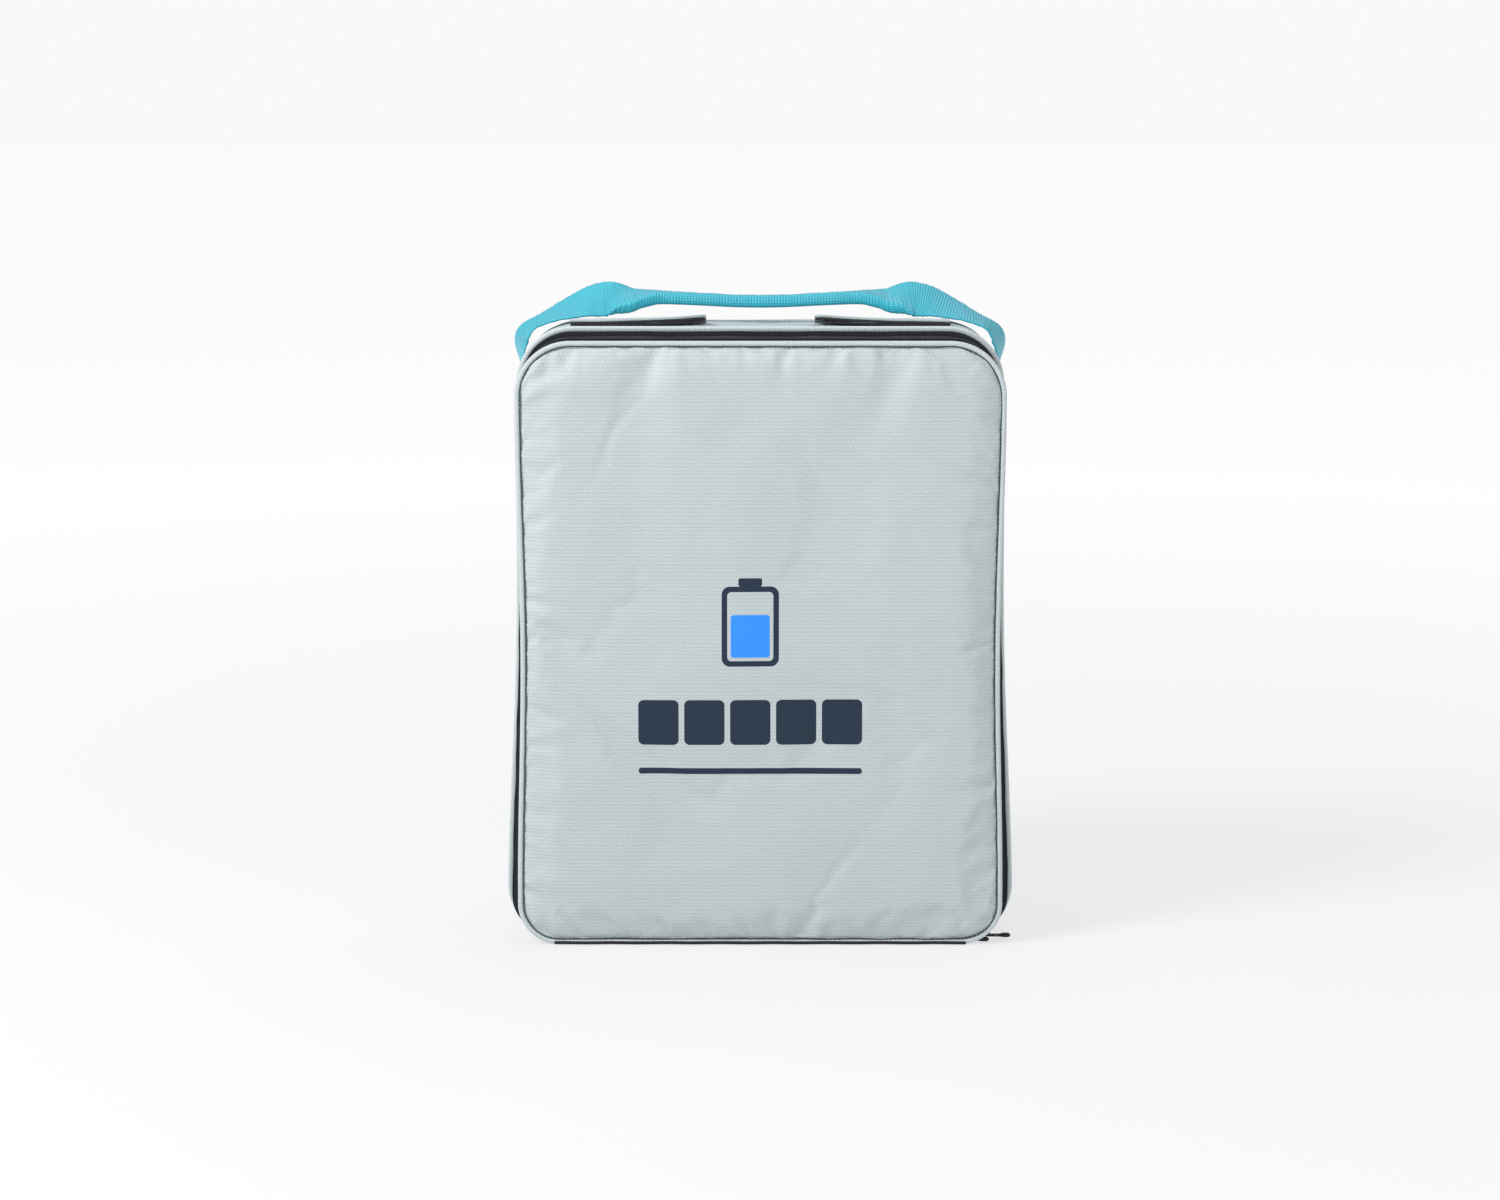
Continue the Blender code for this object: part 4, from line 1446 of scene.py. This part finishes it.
def make_pull(which):
    """A pull: a stamped tab with an eye at its hinge, a waist, and a thick rounded grip."""
    low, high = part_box(f"zip_pull_{which}")
    middle = (low + high) / 2
    matrix = Matrix.Translation((middle.x, middle.y, low.z + 0.0001))
    long = high.x - low.x
    half = long / 2
    outer = []
    for x, y in oval(half, 0.0025, 40, 3.4):
        waist = 1.0 - 0.35 * math.exp(-((x + 0.15 * long) / (0.22 * long)) ** 2)
        outer.append((x, y * waist))
    hole = [(x * 0.9, y) for x, y in oval(0.0016, 0.0011, 40, 2.4, shift=(-half + 0.0028) / 0.9)]
    raised = matrix @ Matrix.Translation((0, 0, 0.0003))
    tab = extrude_outline(f"zip_pull_{which}_tab", outer, hole, 0.0015, raised, 0.00022)
    grip_outline = oval(long * 0.17, 0.0026, 28, 3.0, shift=long * 0.30)
    grip = extrude_outline("grip", grip_outline, None, 0.0024, matrix, 0.0004)
    place_piece(join([tab, grip]), f"pull_{which}", "pull_metal", f"zip_pull_{which}")


def make_sliders():
    """Both sliders and pulls, where the frame holds them."""
    low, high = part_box("zip_slider_lower")
    middle = (low + high) / 2
    place = Matrix.Translation((middle.x, middle.y + PIPING_ROOM - 0.0010, high.z))
    make_slider("lower", "root", place @ Matrix.Rotation(math.pi, 4, "X"))
    make_pull("lower")

    radius = ZIP_TRACK.r_low
    centre = Vector((ZIP_TRACK.low - radius, 0.0, ZIP_TRACK.low_z))
    low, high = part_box("zip_slider_upper")
    middle = (low + high) / 2
    out = Vector((middle.x, 0.0, middle.z)) - centre
    angle = math.atan2(out.z, out.x)
    base = centre + out.normalized() * (radius + GAP)
    # The slider's own z points out of the track, and its own x runs along it.
    turn = Matrix.Rotation(math.pi / 2 - angle, 4, "Y")
    make_slider("upper", "slider_upper", Matrix.Translation((base.x, middle.y, base.z)) @ turn)
    make_pull("upper")


# ---------------------------------------------------------------- stage

def floor_finish():
    """A pale matt floor that gives off light of its own, more of it far out where the lamps don't reach."""
    finish = Finish("studio_floor", Roughness=0.9, Specular_IOR_Level=0.1)
    finish.colour(finish.mix(finish.grain(3.0), FLOOR_GREY, shade(FLOOR_GREY, 0.98)))
    x, y, _ = finish.places()
    squares = [finish.math("MULTIPLY", place, place) for place in (x, y)]
    share = finish.node("ShaderNodeMapRange", interpolation_type="SMOOTHSTEP")
    finish.put(share.inputs["Value"], finish.math("SQRT", finish.math("ADD", *squares)))
    share.inputs["From Min"].default_value = NEAR_REACH
    share.inputs["From Max"].default_value = FAR_REACH
    glow = finish.mix(share.outputs[0], 3 * (NEAR_GLOW,), 3 * (FAR_GLOW,))
    finish.put(finish.shader.inputs["Emission Color"], glow)
    finish.shader.inputs["Emission Strength"].default_value = 1.0
    return finish.material


LIT_PLACE = Vector((0.0, 0.0, 0.24))
FLOOR_REACH = 30.0
FLOOR_Z = -0.0004
FLOOR_GREY = (0.22, 0.22, 0.22)
NEAR_GLOW = 0.673  # the floor's own light up to NEAR_REACH from the bag's middle
FAR_GLOW = 0.866  # and from FAR_REACH on
NEAR_REACH = 0.1
FAR_REACH = 3.0
CAMERA_LENS = 77.6
CAMERA_PITCH = math.radians(9.0)
CAMERA_DISTANCE = 2.4
CAMERA_TARGET = Vector((-0.0074, 0.0, 0.2416))


def add_area(name, place, size, power):
    """A round soft lamp that points at the middle of the bag."""
    light = bpy.data.lights.new(name, "AREA")
    light.shape = "DISK"
    light.size = size
    light.energy = power
    lamp = link(name, light)
    lamp.location = place
    lamp.rotation_euler = (LIT_PLACE - Vector(place)).to_track_quat("-Z", "Y").to_euler()


def make_stage():
    """Pale floor, soft studio light and the camera."""
    scene = bpy.context.scene
    scene.view_settings.view_transform = "Standard"
    mesh = bpy.data.meshes.new("floor")
    corners = ((-1, -1), (1, -1), (1, 1), (-1, 1))
    mesh.from_pydata([(x * FLOOR_REACH, y * FLOOR_REACH, FLOOR_Z) for x, y in corners], [], [(0, 1, 2, 3)])
    mesh.materials.append(floor_finish())
    link("floor", mesh)

    world = bpy.data.worlds.new("studio")
    scene.world = world
    world.use_nodes = True
    tree = world.node_tree
    shown = tree.nodes["Background"]
    shown.inputs["Color"].default_value = (0.947, 0.947, 0.947, 1.0)
    lit = tree.nodes.new("ShaderNodeBackground")
    lit.inputs["Color"].default_value = (0.97, 0.985, 1.0, 1.0)
    lit.inputs["Strength"].default_value = 0.40
    path = tree.nodes.new("ShaderNodeLightPath")
    choose = tree.nodes.new("ShaderNodeMixShader")
    tree.links.new(path.outputs["Is Camera Ray"], choose.inputs[0])
    tree.links.new(lit.outputs[0], choose.inputs[1])
    tree.links.new(shown.outputs[0], choose.inputs[2])
    tree.links.new(choose.outputs[0], tree.nodes["World Output"].inputs["Surface"])

    add_area("key", (-1.7, -1.2, 2.0), 1.1, 62.0)
    add_area("fill", (2.0, -1.6, 0.9), 1.2, 12.0)
    add_area("top", (0.2, 0.7, 2.4), 1.6, 16.0)

    lens = bpy.data.cameras.new("camera")
    lens.lens = CAMERA_LENS
    lens.sensor_width = 36.0
    camera = link("camera", lens)
    away = Vector((0.0, -math.cos(CAMERA_PITCH), math.sin(CAMERA_PITCH)))
    camera.location = CAMERA_TARGET + CAMERA_DISTANCE * away
    camera.rotation_euler = (-away).to_track_quat("-Z", "Y").to_euler()
    scene.camera = camera


make_stage()
make_panel()
make_zip()
make_binding()
make_hinge_cloth()
make_walls()
make_slot_bindings()
make_back()
make_flaps()
make_handle()
make_sliders()
